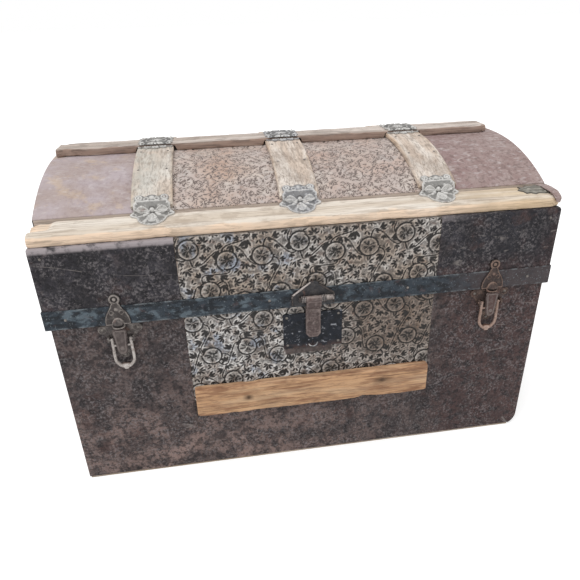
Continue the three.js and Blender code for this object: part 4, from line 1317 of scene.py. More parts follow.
@dataclass(frozen=True)
class Hoops:
    """Bent slats over the dome, swept along its arch by Geometry Nodes, and the slat along its crest."""

    LENGTHS: ClassVar[tuple[str, ...]] = (
        "Centre", "Width", "Thickness", "Gap", "Bevel", "Spring", "Rise", "Half Depth", "Half Span", "Roughness",
    )

    looks: Looks
    centres: Place = HOOP_CENTRES
    width: float = 59.0
    thickness: float = 8.0
    gap: float = 0.3
    bevel: float = 2.2
    steps: int = 150
    roughness: float = 0.5
    crest_left: float = -376.0
    crest_right: float = 364.0
    crest_half: float = 25.0
    crest_foot: float = 483.3
    crest_top: float = 495.3
    hoop_span: float = 194.6
    notch_level: float = 491.7

    def sweep_tree(self) -> Tree:
        """Builds the tree that bends a slat's section along the dome's arch.

        Returns:
            The tree.
        """
        kinds = {key: "NodeSocketFloat" for key in (*self.LENGTHS, "Power", "Seed")}
        tree, start = new_tree("bent_hoop", {**kinds, "Steps": "NodeSocketInt", "Material": "NodeSocketMaterial"})
        given: dict[str, Any] = dict(start.outputs.items())
        ends = {}
        for key, way in (("Start", -1.0), ("End", 1.0)):
            reach = {0: (0.0, way, 0.0), "Scale": given["Half Span"]}
            ends[key] = add_node(tree, "ShaderNodeVectorMath", reach, operation="SCALE").outputs[0]
        line = add_node(tree, "GeometryNodeCurvePrimitiveLine", ends)
        fine = add_node(tree, "GeometryNodeResampleCurve", {"Curve": line.outputs[0], "Count": given["Steps"]})
        spot = add_node(tree, "GeometryNodeInputPosition").outputs[0]
        given["Depth"] = add_node(tree, "ShaderNodeSeparateXYZ", {0: spot}).outputs[1]
        arch_steps = (
            ("Off", "ABSOLUTE", "Depth", 0.0),
            ("Share", "DIVIDE", "Off", "Half Depth"),
            ("Bow", "POWER", "Share", "Power"),
            ("Fall", "MULTIPLY", "Bow", "Rise"),
            ("Crown", "ADD", "Spring", "Rise"),
            ("Inside", "ADD", "Crown", "Gap"),
            ("Half Thickness", "MULTIPLY", "Thickness", 0.5),
            ("Middle", "ADD", "Inside", "Half Thickness"),
            ("Level", "SUBTRACT", "Middle", "Fall"),
        )
        for key, operation, *terms in arch_steps:
            inputs = {k: given.get(term, term) for k, term in enumerate(terms)}
            given[key] = add_node(tree, "ShaderNodeMath", inputs, operation=operation).outputs[0]
        arch = add_node(tree, "ShaderNodeCombineXYZ", {0: given["Centre"], 1: given["Depth"], 2: given["Level"]})
        bent = add_node(tree, "GeometryNodeSetPosition", {"Geometry": fine.outputs[0], "Position": arch.outputs[0]})
        upright = add_node(tree, "GeometryNodeSetCurveNormal", {"Curve": bent.outputs[0]}, mode="Z_UP")
        section = add_node(
            tree, "GeometryNodeCurvePrimitiveQuadrilateral", {"Width": given["Width"], "Height": given["Thickness"]}
        )
        eased = add_node(
            tree, "GeometryNodeFilletCurve", {"Curve": section.outputs[0], "Radius": given["Bevel"], "Count": 3},
            mode="POLY",
        )
        dense = add_node(
            tree, "GeometryNodeResampleCurve", {"Curve": eased.outputs[0], "Length": 0.0022}, mode="LENGTH"
        )
        swept = add_node(
            tree, "GeometryNodeCurveToMesh",
            {"Curve": upright.outputs[0], "Profile Curve": dense.outputs[0], "Fill Caps": True},
        )
        squeeze = {0: spot, 1: (1.0, 0.08, 1.0)}
        stretched = add_node(tree, "ShaderNodeVectorMath", squeeze, operation="MULTIPLY").outputs[0]
        noise = add_node(
            tree, "ShaderNodeTexNoise", {"Vector": stretched, "W": given["Seed"], "Scale": 260.0, "Detail": 2.0},
            noise_dimensions="4D",
        )
        below = add_node(tree, "ShaderNodeMath", {0: noise.outputs[0], 1: 0.75}, operation="SUBTRACT")
        dip = add_node(
            tree, "ShaderNodeMath", {0: below.outputs[0], 1: given["Roughness"]}, operation="MULTIPLY"
        ).outputs[0]
        normal = add_node(tree, "GeometryNodeInputNormal").outputs[0]
        push = add_node(tree, "ShaderNodeVectorMath", {0: normal, "Scale": dip}, operation="SCALE").outputs[0]
        worn = add_node(tree, "GeometryNodeSetPosition", {"Geometry": swept.outputs[0], "Offset": push})
        finish_tree(tree, worn.outputs[0], given["Material"])
        return tree

    def build(self) -> None:
        """Sweeps the three hoops and lays the crest slat."""
        tree = self.sweep_tree()
        for n, (side, centre) in enumerate(zip(HOOP_SIDES, self.centres)):
            lengths = (centre, self.width, self.thickness, self.gap, self.bevel, DOME_SPRING, DOME_RISE, LID_HALF_DEPTH)
            lengths += (self.hoop_span, self.roughness)
            values = {key: length * MM for key, length in zip(self.LENGTHS, lengths)}
            values |= {"Power": DOME_POWER, "Steps": self.steps, "Seed": 1.7 * n, "Material": self.looks.hoop}
            vertices, faces = run_nodes(tree, np.zeros((1, 3)), values)
            off = abs(vertices[:, 0] - centre)
            edge = smooth(self.width / 2 - 7, self.width / 2 - 1, off) * (0.6 + 0.4 * lattice_noise(vertices, 22.0, n))
            obj = make_object(f"hoop_{side}_wood", vertices, faces, self.looks.hoop, "lid", 50, {"edge": edge})
            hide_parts(f"hoop_{side}")
        half, foot, top = self.crest_half, self.crest_foot, self.crest_top
        corners = ((-half, foot), (half, foot), (half, top), (-half, top))
        notches = tuple((c - self.width / 2 - 2, c + self.width / 2 + 2, self.notch_level) for c in self.centres)
        chips = (
            Chip(-352, 20, (-half, top), 3.0), Chip(-369, 8, (half, top), 2.0), Chip(150, 30, (-half, top), 1.5),
            Chip(361, 9, (-half, top), 3.0),
        )
        crest = Slat(
            "crest_slat_wood", "crest_slat", "lid", self.crest_left, self.crest_right, corners, (0.6, 0.6, 2.8, 2.8),
            chips, notches, seed=12,
        )
        crest.build(self.looks.crest)


# ---------------------------------------------------------------------------------------------
# Stamped iron


def mirrored(half: Sequence[Point]) -> list[Point]:
    """Returns a closed outline from the half of it on the +u side."""
    return [*half, *((-u, v) for u, v in reversed(half) if abs(u) > 1e-6)]


def fill_outline(outline: Sequence[Point], step: float) -> tuple[Array, list[list[int]], Array]:
    """Fills an outline with evenly sized triangles.

    Args:
        outline: Corners in order.
        step: Distance between points.

    Returns:
        Points, triangles, and each point's distance from the outline.
    """
    corners = np.array(outline, float)
    rim = []
    for a, b in zip(corners, np.roll(corners, -1, axis=0)):
        count = max(round(float(np.hypot(*(b - a))) / step), 1)
        rim += [a + (b - a) * k / count for k in range(count)]
    rim = np.array(rim)
    low, high = rim.min(axis=0), rim.max(axis=0)
    u, v = np.meshgrid(np.arange(low[0], high[0], step), np.arange(low[1], high[1], step * 0.87))
    u[1::2] += step / 2
    spots = np.column_stack([u.ravel(), v.ravel()])
    a, b = rim, np.roll(rim, -1, axis=0)
    run = b - a
    away = spots[:, None] - a
    t = np.clip((away * run).sum(-1) / (run * run).sum(-1), 0, 1)
    distance = np.sqrt(((away - t[..., None] * run) ** 2).sum(-1)).min(axis=1)
    straddle = (a[:, 1] > spots[:, None, 1]) != (b[:, 1] > spots[:, None, 1])
    crossing = a[:, 0] + (spots[:, None, 1] - a[:, 1]) * run[:, 0] / np.where(run[:, 1] == 0, 1e-9, run[:, 1])
    inside = (straddle & (spots[:, None, 0] < crossing)).sum(axis=1) % 2 == 1
    keep = inside & (distance > 0.55 * step)
    points = np.concatenate([rim, spots[keep]])
    far = np.concatenate([np.zeros(len(rim)), distance[keep]])
    filled = delaunay_2d_cdt([Vector(p) for p in points], [], [list(range(len(rim)))], 1, 1e-6)
    order = [ids[0] for ids in filled[3]]
    return points[order], [list(f) for f in filled[2]], far[order]


class Wrap:
    """Lays a flat sheet along a bent profile in the YZ plane."""

    def __init__(self, across: float, corners: Sequence[Point], bend: float = 2.2, back: bool = False) -> None:
        """Rounds the profile's corners and measures along it.

        Args:
            across: Position across of the sheet's middle.
            corners: Profile with the outside on its right.
            bend: Reach of each rounded corner.
            back: Turns the sheet to the back of the lid.
        """
        self.across = across
        self.side = -1.0 if back else 1.0
        points = [np.array(corners[0], float)]
        for before, here, after in zip(corners, corners[1:], corners[2:]):
            b, h, a = (np.array(p, float) for p in (before, here, after))
            reach = min(bend, np.hypot(*(b - h)) / 2, np.hypot(*(a - h)) / 2)
            start, end = h + (b - h) / np.hypot(*(b - h)) * reach, h + (a - h) / np.hypot(*(a - h)) * reach
            points += [(1 - t) ** 2 * start + 2 * t * (1 - t) * h + t * t * end for t in np.linspace(0, 1, 7)]
        points.append(np.array(corners[-1], float))
        self.points = np.array(points)
        self.run = np.concatenate([[0], np.cumsum(np.hypot(*np.diff(self.points, axis=0).T))])
        way = np.gradient(self.points, self.run, axis=0)
        way /= np.hypot(way[:, 0], way[:, 1])[:, None]
        self.normal = np.column_stack([way[:, 1], -way[:, 0]])

    def __call__(self, u: Array, v: Array, level: Array) -> Array:
        """Places a flat sheet.

        Args:
            u: Place on the sheet, across.
            v: Place on the sheet, along.
            level: Level over the profile.

        Returns:
            Positions, one row each.
        """
        inside = np.clip(v, 0, self.run[-1])
        y, z, ny, nz = (np.interp(inside, self.run, c) for c in (*self.points.T, *self.normal.T))
        past = v - inside
        ty, tz = -nz, ny
        return np.column_stack([self.across + u, self.side * (y + ny * level + ty * past), z + nz * level + tz * past])


def facing_front(x: float, y: float, z: float) -> Sheet:
    """Prepares the placing of a flat sheet that faces the front, with its own v upwards.

    Args:
        x: Position across of the sheet's own zero.
        y: Depth of its inner side.
        z: Height of its own zero.

    Returns:
        What turns (u, v, level) into positions.
    """

    def place(u: Array, v: Array, level: Array) -> Array:
        """Returns positions, one row each."""
        return np.column_stack([x + u, y - level, z + v])

    return place


def closed_sheet(outer: Array, inner: Array, triangles: Sequence[Sequence[int]]) -> Solid:
    """Joins the outer and inner side of a filled outline along its rim.

    Args:
        outer: Positions of the outer side.
        inner: Positions of the inner side, in the same order.
        triangles: Triangles of one side.

    Returns:
        Vertices and faces of a closed solid.
    """
    count = len(outer)
    faces = [tuple(t) for t in triangles] + [tuple(count + i for i in reversed(t)) for t in triangles]
    edges = {(t[k], t[(k + 1) % 3]) for t in triangles for k in range(3)}
    faces += [(i, count + i, count + j, j) for i, j in edges if (j, i) not in edges]
    return np.concatenate([outer, inner]), faces


def stamp(
    name: str,
    body: str,
    outline: Sequence[Point],
    place: Sheet,
    relief: Sheet,
    material: Material,
    step: float = 1.1,
    tones: Point = (1.0, 2.9),
) -> bpy.types.Object:
    """Stamps a piece out of sheet.

    Args:
        name: Piece name.
        body: Body that it rides on.
        outline: Outline on the flat sheet.
        place: Turns (u, v, level) on the sheet into positions.
        relief: Level of the outer face over the inner one, from (u, v, distance from the rim).
        material: Finish.
        step: Fineness.
        tones: Levels stored as 0 and 1 for the finish.

    Returns:
        The piece.
    """
    points, triangles, distance = fill_outline(outline, step)
    u, v = points.T
    level = relief(u, v, distance)
    solid = closed_sheet(place(u, v, level), place(u, v, np.zeros(len(points))), triangles)
    tone = np.clip((level - tones[0]) / (tones[1] - tones[0]), LEAST_TONE, 1)
    return make_object(name, *solid, material, body, STAMP_SHARP, {"relief": np.tile(tone, 2)})


def boss(u: Array, v: Array, cu: float, cv: float, radius: float, height: float) -> Array:
    """Returns a round dome's height."""
    return height * np.sqrt(np.clip(1 - ((u - cu) ** 2 + (v - cv) ** 2) / radius**2, 0, 1))


def ring(u: Array, v: Array, cu: float, cv: float, radius: float, height: float, width: float = 1.1) -> Array:
    """Returns a raised ring's height."""
    return height * smooth(width, 0.25 * width, abs(np.hypot(u - cu, v - cv) - radius))


def flower(
    u: Array, v: Array, cu: float, cv: float, petals: int, reach: float, height: float, turn: float = 0.0
) -> Array:
    """Draws a stamped flower with grooved petals.

    Args:
        u: Place on the sheet, across.
        v: Place on the sheet, along.
        cu: Middle across.
        cv: Middle along.
        petals: Number of petals.
        reach: Length of a petal.
        height: Height of a petal.
        turn: Turn of the whole.

    Returns:
        Height at each place.
    """
    r, angle = np.hypot(u - cu, v - cv), np.arctan2(v - cv, u - cu) + turn
    blade = abs(np.cos(angle * petals / 2))
    petal = smooth(0.35, 0.7, blade) * smooth(reach * (0.55 + 0.45 * blade), reach * 0.35, r)
    rib = smooth(0.985, 0.999, blade) * smooth(reach * 0.8, reach * 0.5, r) * 0.4
    return height * np.clip(petal - rib, 0, 1)


@dataclass(frozen=True)
class Clamps:
    """Shield-shaped clamps on the rim slat, knobbly ones over the crest slat, and the leaf on the rim's end."""

    looks: Looks
    centres: Place = HOOP_CENTRES
    lift: float = 8.6
    start: float = -178.9
    bend: float = -197.4
    end: float = -235.0
    slat_inner_top: float = 432.6
    slat_fall: float = 5 / 38
    crest_reach: float = 38.6
    crest_wall: float = 25.7
    crest_face: float = 495.6
    leaf_middle: float = 355.0

    @staticmethod
    def petal(u: Array, v: Array, place: Point, angle: float, length: float, half: float) -> Array:
        """Draws one hollow petal with a raised rim and vein.

        Args:
            u: Place on the sheet, across.
            v: Place on the sheet, along.
            place: Its foot.
            angle: Its heading.
            length: Its length.
            half: Its half width.

        Returns:
            Height at each place.
        """
        du, dv = u - place[0], v - place[1]
        along, off = du * math.cos(angle) + dv * math.sin(angle), dv * math.cos(angle) - du * math.sin(angle)
        share = np.clip(along / length, 0, 1)
        inside = half * np.sin(np.pi * share**1.3) ** 0.8 - abs(off)
        body = smooth(0.0, 0.6, inside) * (0.55 + 0.75 * smooth(2.4, 1.0, inside))
        return body + 0.6 * smooth(1.0, 0.3, abs(off)) * smooth(0.2, 1.0, inside) * smooth(0.85, 0.6, share)

    def hoop_relief(self, u: Array, v: Array, edge: Array) -> Array:
        """Draws the shield: eyelets at the top, a rib, and a four-petal flower inside a raised rim.

        Args:
            u: Place on the sheet, across.
            v: Place on the sheet, along.
            edge: Distance from the outline.

        Returns:
            Level at each place.
        """
        side = abs(u)
        level = 1.3 + 0.9 * smooth(3.0, 1.8, edge) * smooth(10, 14, v)
        level += ring(side, v, 18, 6.3, 4.0, 1.4, 1.5) + boss(side, v, 18, 6.3, 2.2, 1.5)
        level += ring(side, v, 7.5, 8.8, 3.0, 0.9, 1.2) + boss(side, v, 0, 6.5, 4.0, 1.0)
        level += 1.1 * smooth(1.5, 0.6, abs(v - 12.8)) * smooth(25, 22, side)
        for place, angle, length, half in (
            ((2.5, 27), -0.1, 20, 6.0), ((2.5, 26), 0.95, 17, 3.2), ((0, 31), math.pi / 2, 27, 7.5)
        ):
            level += 1.25 * self.petal(side if angle < 1.5 else u, v, place, angle, length, half)
        level += boss(u, v, 0, 26, 3.6, 2.4) - 0.4 * ring(u, v, 0, 26, 4.4, 1.0, 0.8)
        level += ring(side, v, 25.5, 34.5, 3.2, 0.8, 1.1)
        bearing = np.arctan2(v - 30, u)
        level += (
            0.7 * smooth(0.2, 0.8, np.cos(34 * bearing)) * smooth(4.4, 3.4, edge) * smooth(1.6, 2.4, edge)
            * smooth(14, 17, v)
        )
        level += (
            0.8 * smooth(0.5, 0.9, np.cos(9 * bearing + 1.2)) * smooth(9, 12, np.hypot(u, v - 26))
            * smooth(3.6, 4.6, edge) * smooth(18, 21, v)
        )
        return np.maximum(level, 0.5)

    def crest_relief(self, length: float) -> Sheet:
        """Prepares the relief of a crest clamp.

        Args:
            length: Length of its sheet.

        Returns:
            The relief, from (u, v, edge).
        """

        def relief(u: Array, v: Array, edge: Array) -> Array:
            """Draws the rosette, the leafy ends and the beaded rim.

            Args:
                u: Place on the sheet, across.
                v: Place on the sheet, along.
                edge: Distance from the outline.

            Returns:
                Level at each place.
            """
            side, along = abs(u), abs(v - length / 2)
            level = 0.8 + 0.8 * smooth(2.8, 1.8, edge)
            level += (
                1.4 * flower(u, along, 0, 0, 6, 15.5, 1.0) + boss(u, along, 0, 0, 3.8, 1.9)
                + ring(u, along, 0, 0, 16.6, 1.0, 1.4)
            )
            level += boss(side, along, 22, 14, 3.4, 1.8) + ring(side, along, 21, 22, 3.6, 1.0, 1.1)
            level += (
                1.3 * self.petal(side, along, (1.5, 20), 0.75, 22, 4.6)
                + 1.3 * self.petal(side, along, (0.5, 22), 1.45, 18, 3.6)
            )
            level += boss(side, along, 21.5, 37, 3.2, 1.8)
            level = np.minimum(level, 2.9)
            return np.maximum(level, 0.5)

        return relief

    def leaf_relief(self, u: Array, v: Array, edge: Array) -> Array:
        """Draws the end leaf's veins and its nail bosses.

        Args:
            u: Place on the sheet, across.
            v: Place on the sheet, along.
            edge: Distance from the outline.

        Returns:
            Level at each place.
        """
        level = 0.9 + 0.8 * smooth(0, 1.4, edge)
        angle = np.arctan2(v - 15.5, u + 30)
        level += 0.7 * smooth(0.4, 0.8, np.cos(angle * 17)) * smooth(1.5, 3.5, edge)
        return level + boss(u, v, -9, 15.5, 3.2, 1.2) + boss(u, v, 14, 8, 2.6, 1.0) + boss(u, v, 14, 24, 2.6, 1.0)

    def crumpled(self, u: Array, v: Array, edge: Array) -> Array:
        """Returns the uneven level of the tin folded over the rim slat's end."""
        return 0.9 + 0.3 * lattice_noise(np.column_stack([u, v]), 7.0)

    def slat_level(self, y: float) -> float:
        """Returns the level of the clamps' inner side over the rim slat at depth y."""
        return self.slat_inner_top + self.slat_fall * (y - self.bend)

    def build(self) -> None:
        """Stamps the seven clamps, the end leaf and the tin that folds over the rim slat's end."""
        shield = mirrored([
            (0, 0.2), (3.5, 0.6), (6.5, 2.6), (9.5, 4.0), (12, 2.2), (15.5, 0.2), (19.5, 0.2), (22.8, 2.2), (24.3, 5.5),
            (23.8, 9.5), (22.2, 12.5), (23.2, 15.5), (25.5, 18), (25.5, 26), (28.2, 29.2), (30.6, 32), (31, 35),
            (29.4, 38), (26, 40), (22.6, 42), (20.3, 45.5), (19.6, 50), (17.8, 55), (14.2, 60), (9.4, 64), (4.6, 66),
            (0, 66.6),
        ])
        profile = [
            (y, float(dome_height(y)) + self.lift) for y in (self.start, (self.start + self.bend) / 2, self.bend)
        ]
        profile += [(self.bend, self.slat_level(self.bend)), (self.end, self.slat_level(self.end))]
        over = [(y, float(dome_height(y)) + self.lift) for y in (self.crest_reach, self.crest_wall)]
        over += [(self.crest_wall, self.crest_face), (-self.crest_wall, self.crest_face)]
        over += [(-y, z) for y, z in reversed(over[:2])]
        for side, centre in zip(HOOP_SIDES, self.centres):
            front = stamp(
                f"hoop_clamp_{side}_iron", "lid", shield, Wrap(centre, profile, 7.0), self.hoop_relief,
                self.looks.clamp, 1.0, (0.9, 2.7),
            )
            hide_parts(f"hoop_clamp_{side}")
            stamp(
                f"rear_clamp_{side}_iron", "lid", shield, Wrap(centre, profile, 7.0, True), self.hoop_relief,
                self.looks.clamp, 1.3, (0.9, 2.7),
            )
            wrap = Wrap(centre, over, 4.5)
            middle = wrap.run[-1] / 2
            quarter = [
                (0, 0), (3.5, 0.6), (6, 4.4), (9, 5.0), (12, 2.0), (16, 2.4), (18, 7.0), (21, 8.2), (25, 6.2),
                (28, 9.5), (27.6, 14), (24.2, 17.5), (24.6, 21), (28.4, 24), (28.2, 29), (25.2, 32.5), (26.2, 37),
                (28.6, middle),
            ]
            half = quarter + [(u, 2 * middle - v) for u, v in reversed(quarter[:-1])]
            top = stamp(
                f"crest_clamp_{side}_iron", "lid", mirrored(half), wrap, self.crest_relief(2 * middle),
                self.looks.clamp, 1.0, (0.9, 2.4),
            )
            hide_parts(f"crest_clamp_{side}")
        leaf = [
            (-26, 14), (-20, 8), (-21, 3), (-13, 5), (-8, 0.6), (0, 2.5), (8, 0.5), (25.7, 0.5), (25.7, 29), (10, 30.5),
            (2, 28), (-5, 30.8), (-11, 26.5), (-18, 27.5), (-20, 20),
        ]
        slat_top = [(self.bend, self.slat_level(self.bend)), (self.end, self.slat_level(self.end))]
        cap = stamp(
            "rim_corner_leaf_iron", "lid", leaf, Wrap(self.leaf_middle, slat_top), self.leaf_relief, self.looks.leaf
        )
        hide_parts("rim_corner_clamp")
        hump = [(-196.9, 433.6), (-212.0, 434.4), (-232.0, 433.0), (-243.6, 427.0), (-244.6, 419.0)]
        fold = Wrap(0.0, hump, 9.0)
        run = float(fold.run[-1])
        flap = [
            (365, 0), (381.6, 0), (381.6, run - 6), (379.5, run), (374.5, run - 1), (371, run - 8), (369.5, run - 16),
            (367, 22), (368, 10),
        ]
        tin = stamp("rim_end_tin", "lid", flap, fold, self.crumpled, self.looks.dome_tin, 1.6)


def tube(path: Array, radius: Array | float, sides: int = 16) -> Solid:
    """Sweeps a round section along a path.

    Args:
        path: Points in order, one row each.
        radius: Radius, or one for each point.
        sides: Sides of the section.

    Returns:
        Vertices and faces of a closed tube.
    """
    way = np.gradient(path, axis=0)
    way /= np.linalg.norm(way, axis=1)[:, None]
    side = np.cross(way[0], [0.0, 1.0, 0.0] if abs(way[0][1]) < 0.9 else [1.0, 0.0, 0.0])
    turn = np.linspace(0, 2 * math.pi, sides, endpoint=False)
    rings = []
    for point, ahead, r in zip(path, way, np.broadcast_to(radius, len(path))):
        side = side - ahead * (side @ ahead)
        side /= np.linalg.norm(side)
        up = np.cross(ahead, side)
        rings.append(point + r * (np.outer(np.cos(turn), side) + np.outer(np.sin(turn), up)))
    return loft(np.array(rings))


def bar(x0: float, x1: float, y: float, z: float, radius: float) -> Solid:
    """Makes a round bar along X with eased ends.

    Args:
        x0: One end.
        x1: The other end.
        y: Depth of its axis.
        z: Height of its axis.
        radius: Its radius.

    Returns:
        Vertices and faces.
    """
    ease = min(0.4, radius / 3, abs(x1 - x0) / 4) * (1 if x1 > x0 else -1)
    xs = np.array([x0, x0 + ease, x1 - ease, x1])
    path = np.column_stack([xs, np.full(4, y), np.full(4, z)])
    return tube(path, np.array([radius - abs(ease), radius, radius, radius - abs(ease)]))


def merged(*parts: Solid) -> Solid:
    """Joins several closed solids into one set of vertices and faces.

    Args:
        *parts: Vertices and faces of each solid.

    Returns:
        Vertices and faces of all.
    """
    vertices = np.concatenate([p[0] for p in parts])
    faces, start = [], 0
    for points, sides in parts:
        faces += [tuple(start + i for i in side) for side in sides]
        start += len(points)
    return vertices, faces


def circle_points(u: float, v: float, radius: float, start: float, end: float, count: int) -> list[Point]:
    """Draws an arc.

    Args:
        u: Its middle across.
        v: Its middle along.
        radius: Its radius.
        start: First angle, in degrees.
        end: Last angle, in degrees.
        count: Number of points.

    Returns:
        Its points.
    """
    return [
        (u + radius * math.cos(math.radians(a)), v + radius * math.sin(math.radians(a)))
        for a in np.linspace(start, end, count)
    ]


@dataclass(frozen=True)
class Lock:
    """Trim of the hasp lock: gable beads, ridged ears, the hasp's raised edges and the keyhole's ring."""

    looks: Looks
    middle: float = 3.0
    mount_face: float = -253.4
    eaves: float = 310.0
    eaves_half: float = 33.0
    apex: float = 331.0
    apex_half: float = 4.0
    axis_y: float = -258.3
    axis_z: float = 304.0
    ear_near: float = 11.9
    ear_far: float = 18.7
    leg_out: float = 31.4
    leg_span: Point = (293.0, 309.0)
    pin_left: float = 22.0
    pin_right: float = 28.4
    leaf_half: float = 11.4
    plate_face: float = -248.9
    keyhole_z: float = 222.5
    keyhole_ring: float = 7.0

    def hasp_relief(self, u: Array, v: Array, edge: Array) -> Array:
        """Draws the hasp's raised edges and its pitted middle.

        Args:
            u: Place on the sheet, across.
            v: Place on the sheet, along.
            edge: Distance from the outline.

        Returns:
            Level at each place.
        """
        pits = 0.18 * lattice_noise(np.column_stack([u, v, 0 * u]), 2.2, 5)
        return (
            0.5 + 0.25 * smooth(0.0, 0.7, edge) * smooth(2.2, 1.2, edge) + 0.2 * smooth(0, 1, edge)
            + pits * smooth(1.0, 2.5, edge)
        )

    def build(self) -> None:
        """Builds the trim on the CAD mount, hasp and lock."""
        beads = []
        for x in np.arange(self.ear_far + 0.6, self.pin_right - 0.4, 2.1):
            beads.append(bar(self.middle + x, self.middle + x + 1.5, self.axis_y + 0.6, self.axis_z, 4.4))
        beads.append(bar(self.middle + self.ear_far, self.middle + self.pin_right, self.axis_y + 0.6, self.axis_z, 3.9))
        beads.append(bar(self.middle - self.pin_left, self.middle - self.ear_far, self.axis_y + 0.6, self.axis_z, 3.9))
        for sign, reach in ((-1, 1.0), (1, 0.82)):
            t = np.linspace(0.02, reach, 14)
            xs = self.middle + sign * (self.eaves_half - 1.6 - t * (self.eaves_half - 1.6 - self.apex_half))
            zs = self.eaves - 1.0 + t * (self.apex - self.eaves - 0.6)
            size = 1.35 + 0.25 * lattice_noise(np.column_stack([xs, zs, 0 * zs]), 4.0, 3)
            beads.append(tube(np.column_stack([xs, np.full(14, self.mount_face - 0.5), zs]), size, 10))
            for x in np.linspace(self.ear_near + 0.9, self.ear_far - 0.9, 3):
                centre = self.middle + sign * x
                beads.append(bar(centre - 0.65, centre + 0.65, self.axis_y + 0.4, self.axis_z, 4.88))
            legs = np.array(
                [[self.middle + sign * self.leg_out, self.mount_face - 0.4, z] for z in np.linspace(*self.leg_span, 8)]
            )
            beads.append(tube(legs, 0.95, 8))
        vertices, faces = merged(*beads)
        # Painted highlight on the gable bead's left slope; the ridges' outer faces are lighter as rubbed wear.
        slope = (vertices[:, 2] > self.eaves) * smooth(self.middle + 5, self.middle - 5, vertices[:, 0])
        reach = np.hypot(vertices[:, 1] - self.axis_y - 0.5, vertices[:, 2] - self.axis_z)
        base = np.where((reach > 4.2) & (reach < 5.2), 0.62, 0.08)
        tone = np.clip(base + 0.85 * slope + 0.5 * lattice_noise(vertices, 6.0, 9), LEAST_TONE, 1)
        trim = make_object("hasp_mount_beads", vertices, faces, self.looks.bright, "lid", STAMP_SHARP, {"relief": tone})
        face = [
            (self.axis_y - 2.5, 301.0), (self.axis_y - 2.5, 293.0), (self.axis_y + 5.0, 284.0),
            (self.axis_y + 5.0, 241.0), (self.axis_y + 3.0, 236.4),
        ]
        wrap = Wrap(self.middle, face, 2.5)
        end, half = float(wrap.run[-1]), self.leaf_half
        outline = [(-half, 0), (half, 0), (half, end - 5), (half - 5, end), (5 - half, end), (-half, end - 5)]
        leaf = stamp("hasp_face", "hasp", outline, wrap, self.hasp_relief, self.looks.hasp_face, 1.0, (0.3, 1.2))
        roll = merged(bar(self.middle - half, self.middle + half, self.axis_y + 0.2, self.axis_z + 0.1, 4.68))
        # Painted highlight along the top of the hasp's roll.
        painted_roll_highlight = 0.35 + 0.6 * smooth(self.axis_z + 1.5, self.axis_z + 4.0, roll[0][:, 2])
        top = make_object("hasp_roll", *roll, self.looks.hasp_face, "hasp", STAMP_SHARP, {"relief": painted_roll_highlight})
        turn = np.linspace(1.6, 4.4, 20)
        xs, zs = self.middle + self.keyhole_ring * np.sin(turn), self.keyhole_z + self.keyhole_ring * np.cos(turn)
        around = np.column_stack([xs, np.full(20, self.plate_face - 0.2), zs])
        rim = tube(around, 1.05, 8)
        tone = np.clip(0.55 + 0.9 * lattice_noise(rim[0], 5.0, 2), LEAST_TONE, 1)
        escutcheon = make_object("keyhole_ring", *rim, self.looks.clamp, "body", STAMP_SHARP, {"relief": tone})


